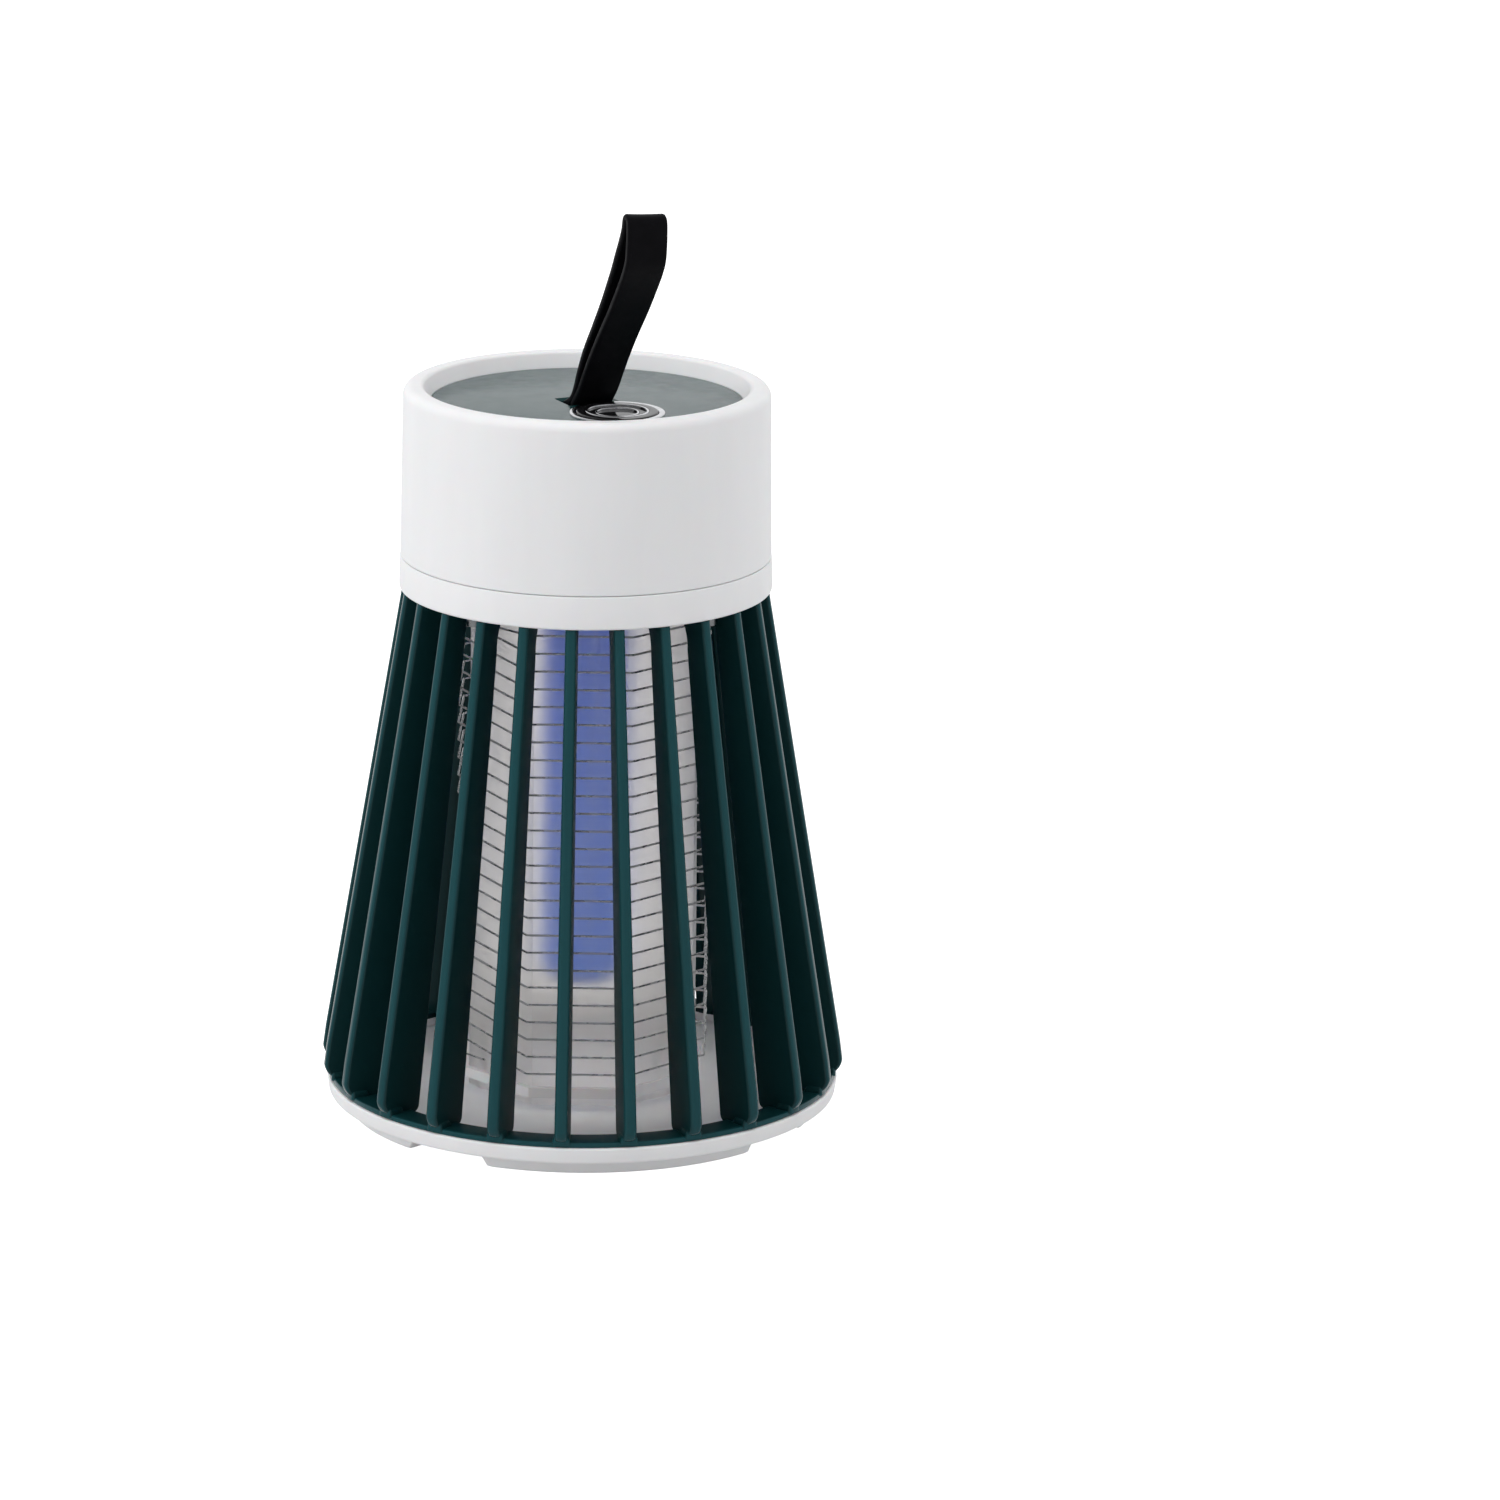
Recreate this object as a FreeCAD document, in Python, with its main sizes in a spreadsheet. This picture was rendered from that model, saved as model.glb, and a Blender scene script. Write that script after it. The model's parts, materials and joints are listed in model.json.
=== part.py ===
import FreeCAD, Part
import math
import os
import re

import Sketcher

# Electric bug zapper lamp.  Millimetres, +Z up, origin at the centre of the
# plane it stands on, the power button towards -Y and the charging jack at +Y.

DIMENSIONS = [
    # shared
    ("gap", 0.05, "gap between assembled pieces"),
    ("bite", 0.2, "how far joined shapes run into each other"),
    ("past", 1.0, "how far a cut runs past the material"),
    # base tray
    ("tray_r", 55.0, "outer radius of the tray at its top edge"),
    ("tray_low_r", 54.5, "outer radius of the tray at its step"),
    ("tray_top", 6.8, "height of the tray's top edge"),
    ("tray_step", 3.3, "height of the step above the foot arcs"),
    ("tray_floor", 5.0, "height of the dish floor"),
    ("tray_well_r", 48.9, "inner radius of the dish"),
    ("tray_round", 0.8, "rounding of the tray's lower edge"),
    ("well_draft", 0.2, "draft of the dish wall"),
    ("foot_r", 50.6, "outer radius of the foot arcs"),
    ("foot_inner_r", 44.0, "inner radius of the foot arcs"),
    ("foot_arc", 72.0, "angle of one foot arc"),
    ("foot_turn", -15.0, "direction of the first foot arc"),
    ("foot_bevel", 0.6, "bevel of the foot arcs' outer edge"),
    ("lock_arc", 8.0, "angle of one bayonet hook"),
    ("lock_travel", 16.0, "twist from locked to free"),
    ("lock_slack", 0.6, "end clearance of a hook in its track, in degrees"),
    ("lock_in_r", 52.0, "inner radius of a hook's neck"),
    ("lock_out_r", 53.2, "outer radius of a hook's neck"),
    ("lock_toe", 0.8, "how far a hook's toe reaches inwards"),
    ("lock_play", 0.2, "clearance around a hook in its track"),
    ("lock_low", 4.5, "height of a hook's underside"),
    ("lock_toe_top", 5.2, "height of a hook's toe"),
    # cage
    ("fin_count", 24.0, "number of fins"),
    ("fin_thick", 2.5, "fin thickness"),
    ("fin_round", 0.95, "edge rounding of a fin"),
    ("fin_top_r", 38.9, "outer radius of the fins at the top"),
    ("fin_top", 113.9, "height of the fins' outer top corner"),
    ("fin_low_r", 56.9, "outer radius of the fins at the bottom, before rounding"),
    ("fin_low", 7.2, "height of the fins' underside"),
    ("fin_heel", 4.0, "rounding of the fins' outer bottom corner"),
    ("fin_toe", 1.5, "rounding of the fins' inner bottom corner"),
    ("fin_inner_low_r", 46.4, "inner radius of the fins at the bottom"),
    ("fin_inner_top_r", 33.9, "inner radius of the fins below the gusset"),
    ("gusset_low", 107.5, "height where the gusset starts"),
    ("cage_ring_top", 116.4, "height of the cage's upper ring"),
    ("cage_ring_low", 113.4, "underside of the cage's upper ring"),
    ("cage_ring_r", 36.0, "outer radius of the upper ring"),
    ("cage_ring_in_r", 31.8, "inner radius of the upper ring"),
    ("gusset_tip", 0.4, "height of a gusset's tip below the upper ring"),
    ("hoop_r", 54.4, "outer radius of the lower ring"),
    ("hoop_in_r", 48.5, "inner radius of the lower ring"),
    ("hoop_top", 8.0, "height of the lower ring"),
    ("hoop_bevel", 0.5, "bevel of the lower ring"),
    ("hoop_low", 6.85, "underside of the lower ring"),
    # collar and housing
    ("collar_low", 114.1, "height of the collar's lower edge"),
    ("collar_low_r", 39.5, "outer radius of the collar at its lower edge"),
    ("collar_in_r", 36.6, "inner radius of the collar's skirt"),
    ("deck_low", 116.6, "underside of the collar's deck"),
    ("deck_top", 118.6, "top of the collar's deck"),
    ("seam", 121.25, "height of the seam between collar and housing"),
    ("seam_gap", 0.1, "gap in the seam"),
    ("seam_r", 39.25, "outer radius at the seam"),
    ("seam_round", 0.35, "rounding of the edges at the seam"),
    ("seam_lip", 0.1, "how far the collar stands out at the seam"),
    ("collar_round", 0.6, "rounding of the collar's lower edge"),
    ("spigot_top", 123.8, "top of the collar's spigot"),
    ("spigot_r", 36.7, "outer radius of the spigot"),
    ("spigot_in_r", 35.2, "inner radius of the spigot"),
    ("shell_in_r", 36.8, "inner radius of the housing"),
    ("shell_top_r", 38.7, "outer radius of the housing near the rim"),
    ("rim_top", 157.5, "height of the rim"),
    ("rim_in_r", 34.5, "inner radius of the rim at its top"),
    ("rim_round", 3.3, "outer rounding of the rim"),
    ("rim_in_round", 0.9, "inner rounding of the rim"),
    ("shelf_slack", 0.3, "how much wider the shelf's slot is than the panel's"),
    ("shelf_hole_r", 9.6, "radius of the shelf's button hole"),
    ("recess_r", 32.95, "radius of the recess at the panel"),
    ("shelf_top", 151.75, "top of the housing's inner shelf"),
    ("shelf_low", 149.8, "underside of the shelf"),
    # panel, button and strap
    ("panel_r", 32.85, "radius of the top panel"),
    ("panel_low", 151.8, "underside of the panel"),
    ("panel_top", 154.2, "top of the panel"),
    ("button_y", -14.6, "button centre along Y"),
    ("button_r", 8.6, "radius of the button's cap"),
    ("button_top", 154.9, "top of the button"),
    ("button_flange_r", 9.2, "radius of the button's flange"),
    ("button_hole_r", 9.4, "radius of the panel's button hole"),
    ("bezel_r", 10.0, "outer radius of the bezel"),
    ("bezel_in_r", 8.7, "inner radius of the bezel"),
    ("bezel_top", 154.75, "top of the bezel"),
    ("bezel_bevel", 0.25, "bevel of the bezel and button edges"),
    ("button_wall", 1.0, "wall of the button's skirt"),
    ("button_skin", 1.5, "depth of the button's solid top"),
    ("button_stem_r", 2.4, "radius of the stem under the button"),
    ("groove_a_r", 6.12, "inner radius of the button's outer groove"),
    ("groove_a_out_r", 6.68, "outer radius of the button's outer groove"),
    ("groove_b_r", 4.12, "inner radius of the button's inner groove"),
    ("groove_b_out_r", 4.63, "outer radius of the button's inner groove"),
    ("trim_play", 0.03, "side clearance of a trim ring in its groove"),
    ("trim_high", 1.0, "height of the outer trim ring"),
    ("groove_floor", 153.98, "floor of the button's outer groove"),
    ("trim_proud", 0.1, "how far the trim rings stand out"),
    ("button_step", 0.3, "step down from the rim to the middle land"),
    ("button_dip", 0.6, "depth of the button's inner face"),
    ("slot_half_x", 5.2, "half length of the strap slot"),
    ("slot_half_y", 3.3, "half width of the strap slot"),
    ("slot_chamfer", 0.6, "chamfer of the slot's mouth"),
    ("pin_y", 0.3, "strap pin along Y"),
    ("pin_z", 152.7, "strap pin height"),
    ("pin_r", 0.8, "strap pin radius"),
    ("pin_half", 8.3, "half length of the strap pin"),
    ("strap_wide", 9.2, "strap width"),
    ("strap_thick", 1.7, "thickness of one strap layer"),
    ("strap_lean", 31.0, "lean of the strap above its pin"),
    ("strap_fold_r", 4.25, "outer radius of the fold at the strap's top"),
    ("running", 0.05, "radial running clearance"),
    # grid
    ("grid_turn", -5.0, "direction of the first grid post"),
    ("flange_low", 113.2, "underside of the grid frame's flange"),
    ("flange_top", 116.4, "top of the grid frame's flange"),
    ("flange_hole_r", 13.4, "radius of the flange's hole"),
    ("tooth_r", 31.3, "radius of the tooth tips"),
    ("notch_r", 27.2, "radius of the notch bottoms"),
    ("post_in_r", 26.2, "inner radius of the posts"),
    ("post_thick", 1.4, "thickness of a post"),
    ("post_low", 8.2, "lower end of the posts"),
    ("band_top", 10.4, "top of the band that ties the posts"),
    ("band_r", 27.4, "corner radius of the band"),
    ("notch_half", 1.75, "half height of a notch at the tips"),
    ("wire_pitch", 3.83, "height between wires"),
    ("wire_top", 109.6, "height of the top wire"),
    ("wire_count", 26.0, "number of wire levels"),
    ("wire_r", 0.25, "radius of an electrode wire"),
    ("wire_corner_r", 28.5, "radius of the wires' corners"),
    ("sleeve_r", 25.8, "corner radius of the diffuser sleeve"),
    ("sleeve_wall", 0.4, "thickness of the sleeve"),
    ("sleeve_low", 6.3, "lower edge of the sleeve"),
    ("sleeve_top", 113.0, "upper edge of the sleeve"),
    # lamp
    ("guide_r", 9.4, "radius of the light guide"),
    ("guide_wall", 1.6, "wall of the light guide"),
    ("guide_low", 28.0, "lower end of the light guide"),
    ("guide_round", 5.0, "rounding of the guide's lower end"),
    ("guide_play", 0.15, "clearance between the guide's flange and its holder"),
    ("holder_play", 0.4, "clearance between the holder and the flange's hole"),
    ("guide_flange_r", 10.3, "radius of the guide's flange"),
    ("guide_flange_low", 115.4, "underside of the guide's flange"),
    ("guide_top", 116.4, "top of the light guide"),
    ("lamp_hole_r", 10.6, "radius of the hole in the collar's deck"),
    # boards and battery
    ("board_low", 143.4, "underside of the main board"),
    ("board_top", 145.0, "top of the main board"),
    ("board_r", 35.2, "radius of the main board"),
    ("board_drill", 3.6, "radius of the board's cut-outs for the screw towers"),
    ("board_post_x", 14.0, "board posts along X"),
    ("board_post_y", 26.0, "board posts along Y"),
    ("switch_top", 148.6, "top of the switch body"),
    ("plunger_top", 150.15, "top of the switch plunger"),
    ("plunger_r", 1.7, "radius of the switch plunger"),
    ("switch_half", 3.2, "half width of the switch body"),
    ("core_left", -11.0, "left side of the transformer core"),
    ("core_right", 2.0, "right side of the transformer core"),
    ("core_front", -24.5, "front of the transformer core"),
    ("core_back", -12.5, "back of the transformer core"),
    ("core_high", 11.5, "height of the transformer core"),
    ("coil_drop", 5.8, "depth of the coil's axis below the board"),
    ("coil_r", 4.5, "radius of the transformer coil"),
    ("coil_end", 0.3, "how far the coil stops short of the core's faces"),
    ("capacitor_left", 4.0, "left side of the capacitor"),
    ("capacitor_right", 9.5, "right side of the capacitor"),
    ("capacitor_high", 9.0, "height of the capacitor"),
    ("diode_x", 22.5, "middle diode along X"),
    ("diode_step", 3.5, "spacing of the diodes"),
    ("diode_r", 1.3, "radius of a diode"),
    ("diode_long", 5.0, "length of a diode"),
    ("diode_front", 17.0, "front end of the diodes"),
    ("diode_drop", 1.5, "depth of the diodes' axes below the board"),
    ("inductor_x", -14.0, "inductor along X"),
    ("inductor_y", 8.0, "inductor along Y"),
    ("inductor_r", 3.5, "radius of the inductor"),
    ("inductor_high", 3.8, "height of the inductor"),
    ("chip_high", 1.6, "height of the chips"),
    ("lamp_board_r", 12.8, "radius of the lamp board"),
    ("lamp_board_thick", 1.6, "thickness of the lamp board"),
    ("led_r", 1.6, "radius of an LED"),
    ("led_ring_r", 5.0, "radius of the LEDs' circle"),
    ("lamp_lead_x", 2.0, "lamp leads along X"),
    ("lamp_lead_y", 12.0, "lamp leads along Y"),
    ("cell_r", 9.15, "radius of the battery cell"),
    ("cell_half", 32.5, "half length of the battery cell"),
    ("cell_cap_r", 3.0, "radius of the cell's positive cap"),
    ("cell_cap", 0.9, "height of the cell's positive cap"),
    ("cell_play", 0.25, "clearance beside and behind the cell"),
    ("tab_thick", 0.2, "thickness of a battery tab"),
    ("tab_half", 3.5, "half width of a battery tab"),
    ("tab_half_high", 4.0, "half height of a battery tab"),
    ("tab_lead_drop", 2.4, "depth of the battery leads' feet below the axis"),
    ("cell_z", 131.4, "height of the battery's axis"),
    ("cradle_low", 120.6, "underside of the cradle's plate"),
    ("cradle_top", 122.0, "top of the cradle's plate"),
    ("cradle_half_x", 24.0, "half length of the cradle"),
    ("cradle_half_y", 10.9, "half width of the cradle"),
    ("cradle_wall", 7.0, "height of the cradle's walls"),
    ("cradle_leg_r", 2.6, "radius of the cradle's legs"),
    ("jack_z", 140.7, "height of the charging jack's axis"),
    ("jack_opening_r", 3.1, "radius of the housing's opening for the jack"),
    ("jack_half", 4.5, "half width of the jack's block"),
    ("jack_drop", 2.7, "how far the block reaches below the axis"),
    ("jack_back", 36.1, "outer face of the jack's block along Y"),
    ("jack_long", 10.1, "length of the jack's block"),
    ("jack_nose", 38.4, "outer end of the jack's nose along Y"),
    ("jack_nose_r", 2.9, "radius of the jack's nose"),
    ("jack_hole_r", 1.8, "radius of the jack's hole"),
    ("jack_hole_deep", 9.4, "depth of the jack's hole"),
    ("jack_pin_r", 0.55, "radius of the jack's contact pin"),
    ("jack_pin_end", 36.5, "outer end of the contact pin along Y"),
    ("jack_pin_long", 7.45, "length of the contact pin"),
    # screws
    ("shell_screw_r", 34.2, "radius of the housing screws' circle"),
    ("shell_screw_turn", 45.0, "direction of the first housing screw"),
    ("cage_screw_r", 33.9, "radius of the cage screws' circle"),
    ("cage_screw_turn", 22.5, "direction of the first cage screw"),
    ("grid_screw_r", 20.0, "radius of the grid screws' circle"),
    ("cradle_screw_x", 21.0, "cradle screws along X"),
    ("cradle_screw_y", 7.4, "cradle screws along Y"),
    ("pilot_r", 0.95, "radius of a pilot hole"),
    ("passing_r", 1.2, "radius of a hole a screw passes through"),
    ("cage_passing_r", 1.3, "radius of the cage's screw holes"),
    ("boss_r", 2.4, "radius of the collar's bosses"),
    ("tower_r", 3.2, "radius of the collar's screw towers"),
    ("housing_boss_r", 2.8, "radius of the housing's bosses"),
    ("sink_r", 2.2, "radius of the sinks under the collar"),
    ("sink_deep", 2.2, "depth of the sinks under the collar"),
    ("shell_head_r", 2.0, "head radius of the housing screws"),
    ("cage_head_r", 2.1, "head radius of the cage screws"),
    ("grid_head_r", 1.9, "head radius of the grid screws"),
    ("head_r", 1.8, "head radius of the small screws"),
    ("head_high", 1.75, "height of the larger screw heads"),
    ("small_head_high", 1.55, "height of the small screw heads"),
    ("shank_r", 0.9, "radius of a screw's shank"),
    ("lead_r", 0.6, "radius of an insulated lead"),
    ("lead_hole_r", 1.0, "radius of the deck's holes for the leads"),
    ("wire_hole_r", 0.8, "radius of the flange's holes for the wires"),
    ("lead_turn_y", -14.0, "where the high-voltage leads rise, along Y"),
]

NAMES = {name for name, _, _ in DIMENSIONS}
GRID_SIDES = 8
CORNERS_PER_LEVEL = 4

doc = FreeCAD.newDocument("bug_zapper")
sheet = doc.addObject("Spreadsheet::Sheet", "dims")
for row, (name, value, note) in enumerate(DIMENSIONS, start=1):
    sheet.set(f"A{row}", note)
    sheet.set(f"B{row}", str(value))
    sheet.setAlias(f"B{row}", name)
doc.recompute()

pieces = []


# ---------------------------------------------------------------- helpers

def size(name):
    """Return the number in the spreadsheet's cell of this name."""
    return float(sheet.get(name))


def spelled(formula):
    """Write a formula's bare dimension names as references to the sheet."""
    def refer(match):
        word = match.group(0)
        return f"dims.{word}" if word in NAMES else word
    return re.sub(r"[a-z][a-z_]*", refer, formula)


def bind(thing, prop, formula):
    thing.setExpression(prop, spelled(formula))


def vector(x, y, z=0.0):
    return FreeCAD.Vector(x, y, z)


def new_body(label, grouped=False):
    """Start a body; a grouped body holds several separate solids."""
    body = doc.addObject("PartDesign::Body", label)
    body.Label = label
    body.AllowCompound = grouped
    pieces.append(body)
    return body


def new_sketch(body, plane="XY_Plane", height=None, turn=None):
    """Attach a sketch to one of the body's origin planes.

    height lifts it along the plane's normal; turn swings an upright sketch
    around the Z axis.
    """
    sketch = body.newObject("Sketcher::SketchObject", f"{body.Name}_sketch")
    support = [item for item in body.Origin.OriginFeatures if item.Role == plane]
    sketch.AttachmentSupport = [(support[0], "")]
    sketch.MapMode = "FlatFace"
    if turn is not None:
        axis = vector(0, 1, 0)
        sketch.AttachmentOffset = FreeCAD.Placement(vector(0, 0), FreeCAD.Rotation(axis, 0))
        bind(sketch, "AttachmentOffset.Rotation.Angle", turn)
    if height is not None:
        bind(sketch, "AttachmentOffset.Base.z", height)
    return sketch


def pin_point(sketch, geometry, point, across, up, here):
    """Tie one point of a sketch to two formulas for its coordinates."""
    for kind, formula, axis, start in (("DistanceX", across, -2, here.x),
                                       ("DistanceY", up, -1, here.y)):
        if formula == "0":
            sketch.addConstraint(Sketcher.Constraint("PointOnObject", geometry, point, axis))
            continue
        rule = Sketcher.Constraint(kind, -1, 1, geometry, point, start)
        index = sketch.addConstraint(rule)
        bind(sketch, f"Constraints[{index}]", formula)


def add_polygon(sketch, corners):
    """Draw a closed outline whose corners are pairs of formulas."""
    count = len(corners)
    first = sketch.GeometryCount
    spots = []
    for step in range(count):
        angle = 2 * math.pi * step / count
        spots.append(vector(40 + 30 * math.cos(angle), 40 + 30 * math.sin(angle)))
    for step in range(count):
        sketch.addGeometry(Part.LineSegment(spots[step], spots[(step + 1) % count]))
    joints = []
    for step in range(count):
        after = first + (step + 1) % count
        joints.append(Sketcher.Constraint("Coincident", first + step, 2, after, 1))
    sketch.addConstraint(joints)
    for step, (across, up) in enumerate(corners):
        pin_point(sketch, first + step, 1, across, up, spots[step])


def add_rectangle(sketch, left, right, low, high):
    add_polygon(sketch, [(left, low), (right, low), (right, high), (left, high)])


def add_octagon(sketch, corner_radius):
    corners = []
    for side in range(GRID_SIDES):
        angle = 360 * side / GRID_SIDES
        corners.append((f"{corner_radius} * cos({angle})", f"{corner_radius} * sin({angle})"))
    add_polygon(sketch, corners)


def add_circle(sketch, radius, across="0", up="0"):
    index = sketch.addGeometry(Part.Circle(vector(5, 5), vector(0, 0, 1), 2))
    pin_point(sketch, index, 3, across, up, vector(5, 5))
    rule = sketch.addConstraint(Sketcher.Constraint("Radius", index, 2))
    bind(sketch, f"Constraints[{rule}]", radius)


def ring_of_spots(radius, turn, count):
    """Formulas for spots spaced evenly on a circle."""
    spots = []
    for step in range(count):
        angle = f"({turn} + {360 * step / count})"
        spots.append((f"{radius} * cos({angle})", f"{radius} * sin({angle})"))
    return spots


def pad(body, sketch, length, symmetric=False):
    feature = body.newObject("PartDesign::Pad", f"{body.Name}_pad")
    feature.Profile = sketch
    feature.Midplane = symmetric
    bind(feature, "Length", length)
    doc.recompute()
    return feature


def pocket(body, sketch, depth, upward=True):
    """Cut away from the sketch's plane and check that something was cut."""
    before = body.Shape.Volume
    feature = body.newObject("PartDesign::Pocket", f"{body.Name}_pocket")
    feature.Profile = sketch
    feature.Reversed = upward
    bind(feature, "Length", depth)
    doc.recompute()
    if body.Shape.Volume >= before:
        raise RuntimeError(f"{body.Label}: a pocket cuts nothing")
    return feature


def turned(body, corners, kind="PartDesign::Revolution", sweep=None, turn=None):
    """Revolve an outline of (radius, height) formulas around the Z axis."""
    before = body.Shape.Volume if kind.endswith("Groove") else None
    sketch = new_sketch(body, "XZ_Plane", turn=turn)
    add_polygon(sketch, corners)
    feature = body.newObject(kind, f"{body.Name}_turned")
    feature.Profile = sketch
    feature.ReferenceAxis = (sketch, ["V_Axis"])
    if sweep is not None:
        feature.Midplane = True
        bind(feature, "Angle", sweep)
    doc.recompute()
    if before is not None and body.Shape.Volume >= before:
        raise RuntimeError(f"{body.Label}: a groove cuts nothing")
    return feature


def around(body, features, count):
    """Repeat features evenly around the Z axis."""
    pattern = body.newObject("PartDesign::PolarPattern", f"{body.Name}_around")
    pattern.Originals = features
    upright = [item for item in body.Origin.OriginFeatures if item.Role == "Z_Axis"]
    pattern.Axis = (upright[0], [""])
    bind(pattern, "Occurrences", count)
    body.Tip = pattern
    doc.recompute()
    return pattern


def drill(body, spots, radius, low, high):
    """Cut round holes at the spots, between two heights."""
    sketch = new_sketch(body, height=low)
    for across, up in spots:
        add_circle(sketch, radius, across, up)
    return pocket(body, sketch, f"({high}) - ({low})")


def bosses(body, spots, radius, low, high):
    """Raise round bosses at the spots, between two heights."""
    sketch = new_sketch(body, height=low)
    for across, up in spots:
        add_circle(sketch, radius, across, up)
    return pad(body, sketch, f"({high}) - ({low})")


def edge_names(feature, wanted):
    """Names of a feature's edges whose two ends pass the test."""
    names = []
    for number, edge in enumerate(feature.Shape.Edges, start=1):
        ends = [corner.Point for corner in edge.Vertexes]
        if wanted(edge, ends):
            names.append(f"Edge{number}")
    return names


def dress(body, kind, base, names, prop, amount):
    """Round or chamfer the named edges of a feature."""
    feature = body.newObject(kind, f"{body.Name}_dress")
    feature.Base = (base, names)
    bind(feature, prop, amount)
    doc.recompute()
    return feature


def level_circle(radius, height):
    """Test for a full circle around the Z axis at this radius and height."""
    def wanted(edge, ends):
        if len(ends) != 1:
            return False
        spot = ends[0]
        return (abs(math.hypot(spot.x, spot.y) - radius) < 0.02
                and abs(spot.z - height) < 0.02)
    return wanted


def round_circle(body, base, radius, height, amount):
    names = edge_names(base, level_circle(radius, height))
    return dress(body, "PartDesign::Fillet", base, names, "Radius", amount)


# -------------------------------------------------------------- base tray

def make_base_tray():
    body = new_body("base_tray")
    dish = turned(body, [
        ("0", "tray_step"), ("tray_low_r", "tray_step"), ("tray_r", "tray_top"),
        ("tray_well_r + well_draft", "tray_top"), ("tray_well_r", "tray_floor"), ("0", "tray_floor"),
    ])
    round_circle(body, dish, size("tray_low_r"), size("tray_step"), "tray_round")
    foot = turned(body, [
        ("foot_inner_r", "tray_step + bite"), ("foot_inner_r", "0"),
        ("foot_r - foot_bevel", "0"), ("foot_r", "foot_bevel"), ("foot_r", "tray_step + bite"),
    ], sweep="foot_arc", turn="foot_turn")
    around(body, [foot], "4")
    reach = "lock_arc + lock_travel + 2 * lock_slack"
    inside = "lock_in_r - lock_toe - lock_play"
    mouth = "tray_top + bite"
    track = turned(body, [
        (inside, "lock_low - lock_play"), ("lock_out_r + lock_play", "lock_low - lock_play"),
        ("lock_out_r + lock_play", mouth), ("lock_in_r - lock_play / 2", mouth),
        ("lock_in_r - lock_play / 2", "lock_toe_top + lock_play"),
        (inside, "lock_toe_top + lock_play"),
    ], kind="PartDesign::Groove", sweep=reach, turn="-lock_travel / 2")
    around(body, [track], "4")
    window = turned(body, [
        (inside, "lock_toe_top - bite"), ("lock_in_r", "lock_toe_top - bite"),
        ("lock_in_r", mouth), (inside, mouth),
    ], kind="PartDesign::Groove", sweep="lock_arc + 2 * lock_slack", turn="-lock_travel")
    around(body, [window], "4")


# ------------------------------------------------------------------- cage

def make_cage():
    body = new_body("cage")
    turned(body, [
        ("cage_ring_in_r", "cage_ring_low"), ("cage_ring_r", "cage_ring_low"),
        ("cage_ring_r", "cage_ring_top"), ("cage_ring_in_r", "cage_ring_top"),
    ])
    sketch = new_sketch(body, "XZ_Plane")
    add_polygon(sketch, [
        ("cage_ring_r - bite", "fin_top"), ("fin_top_r", "fin_top"), ("fin_low_r", "fin_low"),
        ("fin_inner_low_r", "fin_low"), ("fin_inner_top_r", "gusset_low"),
        ("cage_ring_in_r + bite", "cage_ring_low - gusset_tip"),
        ("cage_ring_in_r + bite", "cage_ring_low + past"),
        ("cage_ring_r - bite", "cage_ring_low + past"),
    ])
    fin = pad(body, sketch, "fin_thick", symmetric=True)
    low = size("fin_low") + 0.01

    def heel(edge, ends):
        return len(ends) == 2 and all(end.z < low and end.x > size("hoop_r") for end in ends)

    def toe(edge, ends):
        return len(ends) == 2 and all(end.z < low and end.x < size("hoop_in_r") for end in ends)

    rounded = dress(body, "PartDesign::Fillet", fin, edge_names(fin, heel), "Radius", "fin_heel")
    rounded.SupportTransform = True
    rounded = dress(body, "PartDesign::Fillet", rounded, edge_names(rounded, toe), "Radius",
                    "fin_toe")
    rounded.SupportTransform = True

    def outer(edge, ends):
        if len(ends) != 2 or abs(ends[0].z - ends[1].z) < 50:
            return False
        return min(end.x for end in ends) > size("cage_ring_r") + 1

    soft = dress(body, "PartDesign::Fillet", rounded, edge_names(rounded, outer), "Radius",
                 "fin_round")
    soft.SupportTransform = True
    around(body, [soft], "fin_count")
    turned(body, [
        ("hoop_in_r", "hoop_low"), ("hoop_r", "hoop_low"), ("hoop_r", "hoop_top - hoop_bevel"),
        ("hoop_r - hoop_bevel", "hoop_top"), ("hoop_in_r", "hoop_top"),
    ])
    hook = turned(body, [
        ("lock_in_r - lock_toe", "lock_low"), ("lock_out_r", "lock_low"),
        ("lock_out_r", "hoop_low + bite"), ("lock_in_r", "hoop_low + bite"),
        ("lock_in_r", "lock_toe_top"), ("lock_in_r - lock_toe", "lock_toe_top"),
    ], sweep="lock_arc")
    around(body, [hook], "4")
    spots = ring_of_spots("cage_screw_r", "cage_screw_turn", 4)
    drill(body, spots, "cage_passing_r", "cage_ring_low - past", "cage_ring_top + past")


# ------------------------------------------------------ collar and housing

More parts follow.
